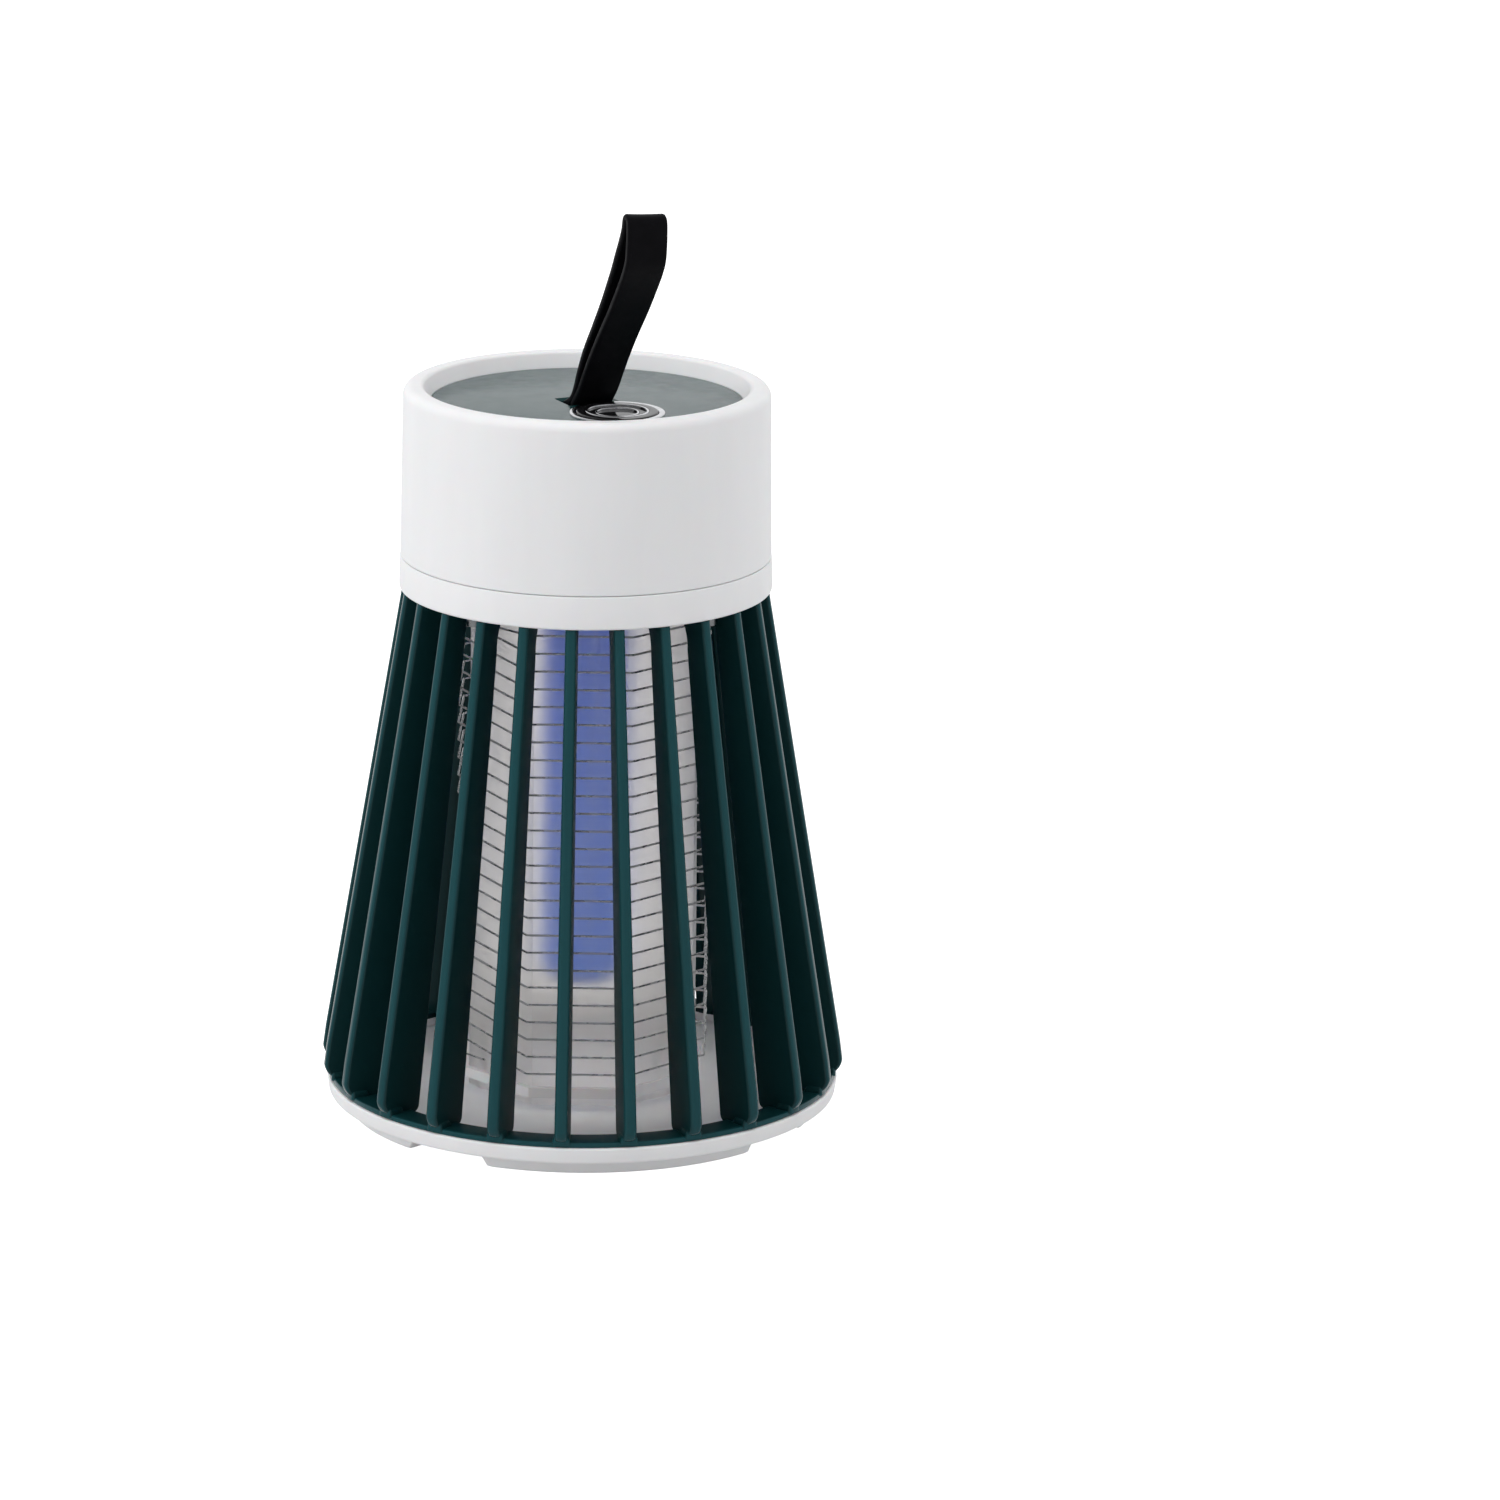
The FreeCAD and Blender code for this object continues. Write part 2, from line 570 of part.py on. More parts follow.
def make_collar():
    body = new_body("housing_collar")
    shell = turned(body, [
        ("lamp_hole_r", "deck_low"), ("collar_in_r", "deck_low"), ("collar_in_r", "collar_low"),
        ("collar_low_r", "collar_low"), ("seam_r + seam_lip", "seam - seam_gap / 2"),
        ("spigot_r", "seam - seam_gap / 2"), ("spigot_r", "spigot_top"),
        ("spigot_in_r", "spigot_top"), ("spigot_in_r", "deck_top"), ("lamp_hole_r", "deck_top"),
    ])
    soft = round_circle(body, shell, size("seam_r") + size("seam_lip"),
                        size("seam") - size("seam_gap") / 2, "seam_round")
    round_circle(body, soft, size("collar_low_r"), size("collar_low"), "collar_round")
    shell_spots = ring_of_spots("shell_screw_r", "shell_screw_turn", 4)
    cage_spots = ring_of_spots("cage_screw_r", "cage_screw_turn", 4)
    grid_spots = ring_of_spots("grid_screw_r", "grid_turn", 2)
    lead_spots = ring_of_spots("wire_corner_r * cos(22.5)", "grid_turn + 22.5", 2)
    cradle_spots = cradle_screw_spots()
    tower_top = "seam - seam_gap / 2 - bite"
    drill(body, shell_spots, "tower_r + 2 * gap", tower_top, "spigot_top + past")
    bosses(body, shell_spots, "tower_r", "deck_top - bite", tower_top)
    drill(body, shell_spots, "sink_r", "deck_low - past", "deck_low + sink_deep")
    drill(body, shell_spots, "passing_r", "deck_low", "spigot_top")
    bosses(body, cage_spots, "boss_r", "deck_top - bite", "deck_top + 5")
    drill(body, cage_spots, "pilot_r", "deck_low - past", "deck_top + 4")
    posts = board_post_spots()
    bosses(body, posts, "boss_r", "deck_top - bite", "board_low - 2 * gap")
    drill(body, posts, "pilot_r", "board_low - 8", "board_low + past")
    drill(body, grid_spots + cradle_spots, "pilot_r", "deck_low - past", "deck_top + past")
    drill(body, lead_spots, "lead_hole_r", "deck_low - past", "deck_top + past")


def board_post_spots():
    spots = []
    for across in ("board_post_x", "-board_post_x"):
        for up in ("board_post_y", "-board_post_y"):
            spots.append((across, up))
    return spots


def make_housing():
    body = new_body("top_housing")
    shell = turned(body, [
        ("shell_in_r", "seam + seam_gap / 2"), ("seam_r", "seam + seam_gap / 2"),
        ("shell_top_r", "rim_top"), ("rim_in_r", "rim_top"), ("recess_r", "panel_top"),
        ("recess_r", "shelf_top"), ("0", "shelf_top"), ("0", "shelf_low"),
        ("shell_in_r", "shelf_low"),
    ])
    soft = round_circle(body, shell, size("shell_top_r"), size("rim_top"), "rim_round")
    soft = round_circle(body, soft, size("rim_in_r"), size("rim_top"), "rim_in_round")
    round_circle(body, soft, size("seam_r"), size("seam") + size("seam_gap") / 2, "seam_round")
    mouth = new_sketch(body, height="shelf_low - past")
    add_circle(mouth, "shelf_hole_r", "0", "button_y")
    add_rectangle(mouth, "-slot_half_x - shelf_slack", "slot_half_x + shelf_slack",
                  "pin_y - slot_half_y - 2 * shelf_slack", "pin_y + slot_half_y + 2 * shelf_slack")
    pocket(body, mouth, "shelf_top - shelf_low + 2 * past")
    spots = ring_of_spots("shell_screw_r", "shell_screw_turn", 4)
    bosses(body, spots, "housing_boss_r", "seam + seam_gap / 2", "shelf_low + bite")
    drill(body, spots, "pilot_r", "seam - past", "seam + 12")
    jack = new_sketch(body, "XZ_Plane", height="-shell_in_r + 2")
    add_circle(jack, "jack_opening_r", "0", "jack_z")
    pocket(body, jack, "6", upward=False)


def fasteners(label, spots, head_radius, head, shank):
    """Screws at the spots; head and shank are each a pair of heights."""
    body = new_body(label, grouped=True)
    bosses(body, spots, head_radius, *head)
    bosses(body, spots, "shank_r", *shank)


def plates(label, outlines, low, high, grouped=False):
    """Flat blocks from rectangles (left, right, front, back) of formulas."""
    body = new_body(label, grouped=grouped)
    sketch = new_sketch(body, height=low)
    for outline in outlines:
        add_rectangle(sketch, *outline)
    pad(body, sketch, f"({high}) - ({low})")
    return body


def studs(label, spots, radius, low, high, grouped=False):
    """Upright round pieces at the spots, between two heights."""
    body = new_body(label, grouped=grouped)
    bosses(body, spots, radius, low, high)
    return body


# --------------------------------------------------- panel, button and strap

def make_panel():
    body = studs("top_panel", [("0", "0")], "panel_r", "panel_low", "panel_top")
    sketch = new_sketch(body, height="panel_low")
    add_rectangle(sketch, "-slot_half_x", "slot_half_x", "pin_y - slot_half_y",
                  "pin_y + slot_half_y")
    cut = pocket(body, sketch, "panel_top - panel_low")
    top = size("panel_top") - 0.01

    def mouth(edge, ends):
        return len(ends) == 2 and all(end.z > top for end in ends)

    names = edge_names(cut, mouth)
    dress(body, "PartDesign::Chamfer", cut, names, "Size", "slot_chamfer")
    drill(body, [("0", "button_y")], "button_hole_r", "panel_low", "panel_top")
    groove = new_sketch(body, height="panel_low")
    add_rectangle(groove, "-pin_half - bite", "pin_half + bite", "pin_y - pin_r - running",
                  "pin_y + pin_r + running")
    pocket(body, groove, "pin_z + pin_r + running - panel_low")


def make_strap_pin():
    pin = doc.addObject("Part::Cylinder", "strap_pin")
    pin.Placement = FreeCAD.Placement(vector(0, 0), FreeCAD.Rotation(vector(0, 1, 0), 90))
    bind(pin, "Radius", "pin_r")
    bind(pin, "Height", "2 * pin_half")
    bind(pin, "Placement.Base.x", "-pin_half")
    bind(pin, "Placement.Base.y", "pin_y")
    bind(pin, "Placement.Base.z", "pin_z")
    pieces.append(pin)


def smooth(points, start, end):
    """A curve through the points with these end directions."""
    curve = Part.BSplineCurve()
    curve.interpolate(Points=points, InitialTangent=start, FinalTangent=end)
    return curve


def make_strap():
    """Two layers folded into a loop that leans over the button."""
    body = new_body("carry_strap")
    sketch = new_sketch(body, "YZ_Plane")
    pin = vector(size("pin_y"), size("pin_z"))
    lean = math.radians(size("strap_lean"))
    rise = vector(-math.sin(lean), math.cos(lean))
    out = vector(-math.cos(lean), -math.sin(lean))
    root_r = size("pin_r") + size("running") + size("strap_thick")
    pressed = size("strap_thick") + size("gap")
    crown = vector(-23.15, 194.7)
    crown_r = size("strap_fold_r")
    inner_r = crown_r - size("strap_thick")
    across = vector(1, 0)
    up = vector(0, 1)

    front_low = pin + out * root_r
    back_low = pin - out * root_r
    front_top = crown - across * crown_r
    back_top = crown + across * crown_r
    front = [front_low, pin + rise * 5 + out * pressed, vector(-9.2, 164.0),
             vector(-16.6, 173.8), vector(-25.0, 184.6), vector(-27.4, 190.2), front_top]
    back = [back_low, pin + rise * 5 - out * pressed, vector(-6.6, 166.0),
            vector(-11.6, 174.0), vector(-16.4, 182.5), vector(-18.6, 189.5), back_top]
    root = Part.Arc(front_low, pin - rise * root_r, back_low)
    top = Part.Arc(front_top, crown + up * crown_r, back_top)
    sketch.addGeometry([smooth(front, rise, up), smooth(back, rise, up), root, top])

    eye_low = vector(-13.2, 172.2)
    eye_front_top = crown - across * inner_r
    eye_back_top = crown + across * inner_r
    eye_front = [eye_low, vector(-17.0, 177.0), vector(-22.6, 184.4), vector(-25.5, 189.8),
                 eye_front_top]
    eye_back = [eye_low, vector(-15.3, 177.0), vector(-18.5, 183.0), vector(-20.4, 189.8),
                eye_back_top]
    eye_rise = vector(-0.6, 0.8)
    eye_top = Part.Arc(eye_front_top, crown + up * inner_r, eye_back_top)
    sketch.addGeometry([smooth(eye_front, eye_rise, up), smooth(eye_back, eye_rise, up),
                        eye_top])
    add_circle(sketch, "pin_r + running", "pin_y", "pin_z")
    pad(body, sketch, "strap_wide", symmetric=True)


def over_button(label, corners, grouped=False):
    """Start a body turned about the button's axis."""
    body = new_body(label, grouped=grouped)
    bind(body, "Placement.Base.y", "button_y")
    turned(body, corners)
    return body


def make_button():
    over_button("button_bezel", [
        ("bezel_in_r", "panel_low + 1"), ("button_hole_r - 2 * gap", "panel_low + 1"),
        ("button_hole_r - 2 * gap", "panel_top"), ("bezel_r", "panel_top"),
        ("bezel_r", "bezel_top - bezel_bevel"), ("bezel_r - bezel_bevel", "bezel_top"),
        ("bezel_in_r + bezel_bevel", "bezel_top"), ("bezel_in_r", "bezel_top - bezel_bevel"),
    ])
    over_button("power_button", [
        ("0", "plunger_top + 2 * gap"), ("button_stem_r", "plunger_top + 2 * gap"),
        ("button_stem_r", "button_top - button_skin"),
        ("button_r - button_wall", "button_top - button_skin"),
        ("button_r - button_wall", "panel_low - bite"), ("button_flange_r", "panel_low - bite"),
        ("button_flange_r", "panel_low + 4 * bite"), ("button_r", "panel_low + 4 * bite"),
        ("button_r", "button_top - bezel_bevel"), ("button_r - bezel_bevel", "button_top"),
        ("groove_a_out_r", "button_top"),
        ("groove_a_out_r", "groove_floor"),
        ("groove_a_r", "groove_floor"),
        ("groove_a_r", "button_top - button_step"), ("groove_b_out_r", "button_top - button_step"),
        ("groove_b_out_r", "groove_floor - 2 * gap"),
        ("groove_b_r", "groove_floor - 2 * gap"),
        ("groove_b_r", "button_top - button_dip"), ("0", "button_top - button_dip - 3 * gap"),
    ])
    outer = ("groove_a_r + trim_play", "groove_a_out_r - trim_play")
    inner = ("groove_b_r + trim_play", "groove_b_out_r - trim_play")
    floor, crest = "button_top + trim_proud - trim_high", "button_top + trim_proud"
    rings = over_button("button_trim_rings", [
        (outer[0], floor), (outer[1], floor), (outer[1], crest), (outer[0], crest),
    ], grouped=True)
    turned(rings, [
        (inner[0], "button_top - trim_high"), (inner[1], "button_top - trim_high"),
        (inner[1], "button_top - bite"), (inner[0], "button_top - bite"),
    ])


def make_switch():
    body = plates("switch_body", [("-switch_half", "switch_half", "button_y - switch_half",
                                    "button_y + switch_half")], "board_top + gap", "switch_top")
    spot = [("0", "button_y")]
    drill(body, spot, "plunger_r + 2 * running", "board_top + 3 * bite", "switch_top")
    studs("switch_plunger", spot, "plunger_r", "board_top + 2", "plunger_top")


# ------------------------------------------------------------------- grid

def make_grid_frame():
    body = new_body("grid_frame")
    sketch = new_sketch(body, height="flange_low")
    add_octagon(sketch, "tooth_r")
    add_circle(sketch, "flange_hole_r")
    pad(body, sketch, "flange_top - flange_low")
    comb = [("post_in_r", "post_low"), ("tooth_r", "post_low")]
    for level in reversed(range(int(size("wire_count")))):
        middle = f"wire_top - {level} * wire_pitch"
        comb.append(("tooth_r", f"{middle} - notch_half"))
        comb.append(("notch_r", middle))
        comb.append(("tooth_r", f"{middle} + notch_half"))
    comb.append(("tooth_r", "flange_low + bite"))
    comb.append(("post_in_r", "flange_low + bite"))
    upright = new_sketch(body, "XZ_Plane")
    add_polygon(upright, comb)
    post = pad(body, upright, "post_thick", symmetric=True)
    around(body, [post], str(GRID_SIDES))
    band = new_sketch(body, height="post_low")
    add_octagon(band, "band_r")
    add_octagon(band, "(sleeve_r + bite)")
    pad(body, band, "band_top - post_low")
    drill(body, ring_of_spots("grid_screw_r", "0", 2), "passing_r", "flange_low - past",
          "flange_top")
    lead_spots = ring_of_spots("wire_corner_r * cos(22.5)", "22.5", 2)
    drill(body, lead_spots, "wire_hole_r", "flange_low - past", "flange_top")
    bind(body, "Placement.Rotation.Angle", "grid_turn")


def make_sleeve():
    body = new_body("diffuser_sleeve")
    sketch = new_sketch(body, height="sleeve_low")
    add_octagon(sketch, "sleeve_r")
    add_octagon(sketch, "(sleeve_r - sleeve_wall / cos(22.5))")
    pad(body, sketch, "sleeve_top - sleeve_low")
    bind(body, "Placement.Rotation.Angle", "grid_turn")


def polar(radius, degrees, height):
    angle = math.radians(degrees)
    return vector(radius * math.cos(angle), radius * math.sin(angle), height)


def electrode_path(first_corner):
    """One wire: it steps down a level after every fourth corner of the frame."""
    facet = 360 / GRID_SIDES
    corner_r = size("wire_corner_r")
    facet_r = corner_r * math.cos(math.radians(facet / 2))
    top = size("wire_top")
    corners = int(size("wire_count")) * CORNERS_PER_LEVEL
    path = [polar(facet_r, first_corner - facet / 2, size("flange_low") - 2 * size("bite")),
            polar(facet_r, first_corner - facet / 2, top)]
    for step in range(corners):
        level = step // CORNERS_PER_LEVEL
        height = top - level * size("wire_pitch")
        path.append(polar(corner_r, first_corner + step * facet, height))
    path.append(polar(facet_r, first_corner + (corners - 0.5) * facet, height))
    return path


def make_wires():
    first = size("grid_turn") - 3 * 360 / GRID_SIDES
    for label, turn in (("grid_wire_live", 0), ("grid_wire_return", 180)):
        pieces.append(swept(label, electrode_path(first + turn), "wire_r"))


def swept(label, points, radius):
    """Sweep a round section along straight runs with mitred corners."""
    path = doc.addObject("Part::Feature", f"{label}_path")
    path.Shape = Part.makePolygon(points)
    section = doc.addObject("Part::Circle", f"{label}_section")
    bind(section, "Radius", radius)
    along = points[1] - points[0]
    section.Placement = FreeCAD.Placement(points[0], FreeCAD.Rotation(vector(0, 0, 1), along))
    sweep = doc.addObject("Part::Sweep", label)
    sweep.Sections = [section]
    sweep.Spine = (path, [])
    sweep.Solid = True
    sweep.Transition = "Right corner"
    return sweep


def gathered(label, members):
    """One piece made of several separate solids."""
    group = doc.addObject("Part::Compound", label)
    group.Links = members
    pieces.append(group)


# ------------------------------------------------------------------- lamp

def make_lamp():
    body = new_body("light_guide")
    rod = turned(body, [
        ("0", "guide_low"), ("guide_r", "guide_low"), ("guide_r", "guide_flange_low"),
        ("guide_flange_r", "guide_flange_low"), ("guide_flange_r", "guide_top"),
        ("guide_r - guide_wall", "guide_top"), ("guide_r - guide_wall", "guide_low + guide_round"),
        ("guide_r - guide_round", "guide_low + guide_wall"), ("0", "guide_low + guide_wall"),
    ])
    round_circle(body, rod, size("guide_r"), size("guide_low"), "guide_round")
    holder = new_body("light_guide_holder")
    turned(holder, [
        ("guide_r + 2 * gap", "flange_low + 2 * gap"),
        ("flange_hole_r - holder_play", "flange_low + 2 * gap"),
        ("flange_hole_r - holder_play", "deck_low - 2 * gap"),
        ("guide_flange_r + guide_play", "deck_low - 2 * gap"),
        ("guide_flange_r + guide_play", "guide_flange_low - 2 * gap"),
        ("guide_r + 2 * gap", "guide_flange_low - 2 * gap"),
    ])
    studs("lamp_board", [("0", "0")], "lamp_board_r", "deck_top + gap",
          "deck_top + gap + lamp_board_thick")
    studs("uv_leds", ring_of_spots("led_ring_r", "45", 4), "led_r", "guide_top + 0.5",
          "deck_top", grouped=True)
    studs("lamp_leads", [("-lamp_lead_x", "lamp_lead_y"), ("lamp_lead_x", "lamp_lead_y")],
          "lead_r", "deck_top + 2 * gap + lamp_board_thick", "board_low - gap", grouped=True)


# ---------------------------------------------------------- board and cell

def make_board():
    body = studs("main_board", [("0", "0")], "board_r", "board_low", "board_top")
    spots = ring_of_spots("shell_screw_r", "shell_screw_turn", 4)
    drill(body, spots, "board_drill", "board_low", "board_top")
    drill(body, board_post_spots(), "passing_r", "board_low", "board_top")
    under = "board_low - gap"
    axis = ("(core_left + core_right) / 2", "board_low - coil_drop")
    core = plates("transformer_core", [("core_left", "core_right", "core_front", "core_back")],
                  "board_low - core_high", under)
    barrel = new_sketch(core, "XZ_Plane", height="-core_front + 2 * gap")
    add_circle(barrel, "coil_r + 2 * gap", *axis)
    pocket(core, barrel, "core_back - core_front + 4 * gap", upward=False)
    coil = new_body("transformer_coil")
    winding = new_sketch(coil, "XZ_Plane", height="-core_front - coil_end")
    add_circle(winding, "coil_r", *axis)
    turns = pad(coil, winding, "core_back - core_front - 2 * coil_end")
    turns.Reversed = True
    plates("hv_capacitor", [("capacitor_left", "capacitor_right", "core_front", "core_back")],
           "board_low - capacitor_high", under)
    diodes = new_body("hv_diodes", grouped=True)
    barrels = new_sketch(diodes, "XZ_Plane", height="diode_front")
    for across in ("diode_x - diode_step", "diode_x", "diode_x + diode_step"):
        add_circle(barrels, "diode_r", across, "board_low - diode_drop")
    row = pad(diodes, barrels, "diode_long")
    row.Reversed = True
    above = "board_top + gap"
    studs("boost_inductor", [("inductor_x", "inductor_y")], "inductor_r", above,
          "board_top + inductor_high")
    chips = [("10", "15", "5", "10"), ("-4", "2", "13", "18"), ("8", "12", "-3", "1")]
    plates("board_chips", chips, above, "board_top + chip_high", grouped=True)


def make_jack():
    body = new_body("charging_jack")
    block = new_sketch(body, "XZ_Plane", height="-jack_back")
    add_rectangle(block, "-jack_half", "jack_half", "jack_z - jack_drop", "board_low - gap")
    pad(body, block, "jack_long")
    nose = new_sketch(body, "XZ_Plane", height="-jack_nose")
    add_circle(nose, "jack_nose_r", "0", "jack_z")
    pad(body, nose, "jack_nose - jack_back + bite")
    mouth = new_sketch(body, "XZ_Plane", height="-jack_nose")
    add_circle(mouth, "jack_hole_r", "0", "jack_z")
    pocket(body, mouth, "jack_hole_deep")
    pin = new_body("charging_jack_pin")
    tip = new_sketch(pin, "XZ_Plane", height="-jack_pin_end")
    add_circle(tip, "jack_pin_r", "0", "jack_z")
    pad(pin, tip, "jack_pin_long")


def make_battery():
    body = new_body("battery_cell")
    can = new_sketch(body, "YZ_Plane", height="-cell_half")
    add_circle(can, "cell_r", "0", "cell_z")
    pad(body, can, "2 * cell_half")
    cap = new_sketch(body, "YZ_Plane", height="cell_half")
    add_circle(cap, "cell_cap_r", "0", "cell_z")
    pad(body, cap, "cell_cap")
    tabs = new_body("battery_tabs", grouped=True)
    for plane_x in ("-cell_half - gap - tab_thick", "cell_half + cell_cap + gap"):
        strip = new_sketch(tabs, "YZ_Plane", height=plane_x)
        add_rectangle(strip, "-tab_half", "tab_half", "cell_z - tab_half_high",
                      "cell_z + tab_half_high")
        pad(tabs, strip, "tab_thick")
    beside = "(2 * gap + tab_thick + lead_r)"
    feet = [(f"-cell_half - {beside}", "0"), (f"cell_half + cell_cap + {beside}", "0")]
    studs("battery_leads", feet, "lead_r", "cell_z - tab_lead_drop", "board_low - gap",
          grouped=True)


def make_cradle():
    ends = ("-cradle_half_x", "cradle_half_x")
    body = plates("battery_cradle", [(*ends, "-cradle_half_y", "cradle_half_y")], "cradle_low",
                  "cradle_top")
    sketch = new_sketch(body, height="cradle_top - bite")
    add_rectangle(sketch, *ends, "cell_r + cell_play", "cradle_half_y")
    add_rectangle(sketch, *ends, "-cradle_half_y", "-cell_r - cell_play")
    pad(body, sketch, "cradle_wall + bite")
    legs = []
    for across in ("cradle_screw_x", "-cradle_screw_x"):
        for up in ("cradle_screw_y", "-cradle_screw_y"):
            legs.append((across, up))
    bosses(body, legs, "cradle_leg_r", "deck_top + gap", "cradle_low + bite")
    drill(body, cradle_screw_spots(), "passing_r", "deck_top", "cradle_top + past")


def cradle_screw_spots():
    return [("cradle_screw_x", "cradle_screw_y"), ("-cradle_screw_x", "-cradle_screw_y")]


def make_leads():
    facet = 360 / GRID_SIDES
    radius = size("wire_corner_r") * math.cos(math.radians(facet / 2))
    board = size("board_low") - size("gap")
    run = size("deck_top") + 1
    turn_y = size("lead_turn_y")
    leads = []
    for name, side in (("hv_lead_live", 1), ("hv_lead_return", -1)):
        foot = polar(radius, size("grid_turn") + 202.5, size("flange_low") - 0.3)
        path = [foot, vector(foot.x, foot.y, run), vector(foot.x, turn_y, run),
                vector(foot.x, turn_y, board)]
        points = [vector(side * spot.x, side * spot.y, spot.z) for spot in path]
        leads.append(swept(name, points, "lead_r"))
    gathered("hv_leads", leads)


def make_screws():
    sunk = "deck_low + 2 * bite"
    fasteners("housing_screws", ring_of_spots("shell_screw_r", "shell_screw_turn", 4),
              "shell_head_r", (sunk, f"{sunk} + head_high"), ("deck_low + 2", "seam + 9"))
    fasteners("cage_screws", ring_of_spots("cage_screw_r", "cage_screw_turn", 4), "cage_head_r",
              ("cage_ring_low - gap - head_high", "cage_ring_low - gap"),
              ("cage_ring_low - bite", "deck_top + 3"))
    fasteners("grid_screws", ring_of_spots("grid_screw_r", "grid_turn", 2), "grid_head_r",
              ("flange_low - gap - head_high", "flange_low - gap"),
              ("flange_low - bite", "deck_top - bite"))
    fasteners("board_screws", board_post_spots(), "head_r",
              ("board_top + gap", "board_top + gap + small_head_high"),
              ("board_low - 6", "board_top + bite"))
    fasteners("cradle_screws", cradle_screw_spots(), "head_r",
              ("cradle_top + gap", "cradle_top + gap + small_head_high"),
              (sunk, "cradle_top + bite"))


# ------------------------------------------------------------- write it all

def check_and_write():
    doc.recompute()
    for item in doc.Objects:
        if "Invalid" in item.State or "Error" in item.State:
            raise RuntimeError(f"{item.Label}: state {item.State}")
    for piece in pieces:
        if piece.Shape.isNull() or not piece.Shape.isValid():
            raise RuntimeError(f"{piece.Label}: its shape is not valid")
    os.makedirs("parts", exist_ok=True)
    for piece in pieces:
        piece.Shape.exportStep(f"parts/{piece.Label}.step")


for make in (make_base_tray, make_cage, make_collar, make_housing, make_panel, make_strap_pin,
             make_strap, make_button, make_switch, make_grid_frame, make_wires, make_sleeve,
             make_lamp, make_board, make_jack, make_battery, make_cradle, make_leads,
             make_screws):
    make()
check_and_write()
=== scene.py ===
import json
import math

import bmesh
import bpy
from mathutils import Matrix, Vector, noise


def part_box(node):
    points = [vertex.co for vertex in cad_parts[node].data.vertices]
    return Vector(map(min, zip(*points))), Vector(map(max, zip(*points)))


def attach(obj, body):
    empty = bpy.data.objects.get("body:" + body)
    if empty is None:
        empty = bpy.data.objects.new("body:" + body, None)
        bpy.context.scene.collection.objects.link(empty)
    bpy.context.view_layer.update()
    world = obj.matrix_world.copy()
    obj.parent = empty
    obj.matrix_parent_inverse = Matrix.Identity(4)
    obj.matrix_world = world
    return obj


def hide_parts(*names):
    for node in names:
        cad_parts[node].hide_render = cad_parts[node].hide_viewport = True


# Looks for the bug zapper lamp.  Pieces are built in millimetres around the
# CAD frame and scaled to metres when they are published.

MM = 0.001
TURNS = 256
TAU = 2 * math.pi

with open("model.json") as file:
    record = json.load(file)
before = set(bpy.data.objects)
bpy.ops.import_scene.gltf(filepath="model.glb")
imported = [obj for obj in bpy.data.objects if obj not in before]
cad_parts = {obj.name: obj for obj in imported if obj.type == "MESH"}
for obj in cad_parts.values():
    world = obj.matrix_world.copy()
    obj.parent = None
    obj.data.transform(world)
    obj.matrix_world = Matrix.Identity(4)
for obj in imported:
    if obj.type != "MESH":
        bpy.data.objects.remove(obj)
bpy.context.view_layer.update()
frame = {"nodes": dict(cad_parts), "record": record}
record = frame["record"]


# ------------------------------------------------------------ the CAD frame

def span(node):
    """Lowest and highest corner of a CAD node, in millimetres."""
    low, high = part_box(node)
    return low / MM, high / MM


def body_of(node):
    groups = record["behaviour"]["bodies"]
    return next(name for name, members in groups.items() if node in members)


def slot_of(node):
    return next(part["material_slot"] for part in record["subparts"] if part["node"] == node)


TRAY_HIGH = span("base_tray")[1]
CAGE_LOW, CAGE_HIGH = span("cage")
COLLAR_LOW, COLLAR_HIGH = span("housing_collar")
HOUSING_LOW, HOUSING_HIGH = span("top_housing")
PANEL_LOW, PANEL_HIGH = span("top_panel")
BEZEL_LOW, BEZEL_HIGH = span("button_bezel")
BUTTON_LOW, BUTTON_HIGH = span("power_button")
RINGS_HIGH = span("button_trim_rings")[1]
GRID_LOW, GRID_HIGH = span("grid_frame")
SLEEVE_LOW, SLEEVE_HIGH = span("diffuser_sleeve")
GUIDE_LOW, GUIDE_HIGH = span("light_guide")
STRAP_HIGH = span("carry_strap")[1]
PIN_LOW, PIN_HIGH = span("strap_pin")
BUTTON_Y = (BUTTON_LOW.y + BUTTON_HIGH.y) / 2
PIN = (PIN_LOW + PIN_HIGH) / 2
PIN_SEAT = 0.85

# The cage's hooks and the tray's slots that they turn into, and its fins.
HOOK_ARC = 8.0
HOOK_TOE = 0.8
NECK_IN, NECK_OUT = 52.0, 53.2
FINS = 24


# ------------------------------------------------------------ mesh helpers

def rounded(corners, steps=5):
    """Round the corners of an outline; each is (across, up) or (across, up, radius)."""
    points = []
    count = len(corners)
    for place, corner in enumerate(corners):
        here = Vector(corner[:2])
        if len(corner) < 3:
            points.append(here)
            continue
        to_last = Vector(corners[place - 1][:2]) - here
        to_next = Vector(corners[(place + 1) % count][:2]) - here
        half = to_last.angle(to_next) / 2
        reach = min(corner[2] / math.tan(half), 0.49 * to_last.length, 0.49 * to_next.length)
        radius = reach * math.tan(half)
        centre = here + (to_last.normalized() + to_next.normalized()).normalized() * (
            radius / math.sin(half))
        first = here + to_last.normalized() * reach - centre
        last = here + to_next.normalized() * reach - centre
        turn = first.angle_signed(last)
        for step in range(steps + 1):
            angle = -turn * step / steps
            points.append(centre + Matrix.Rotation(angle, 2) @ first)
    return points


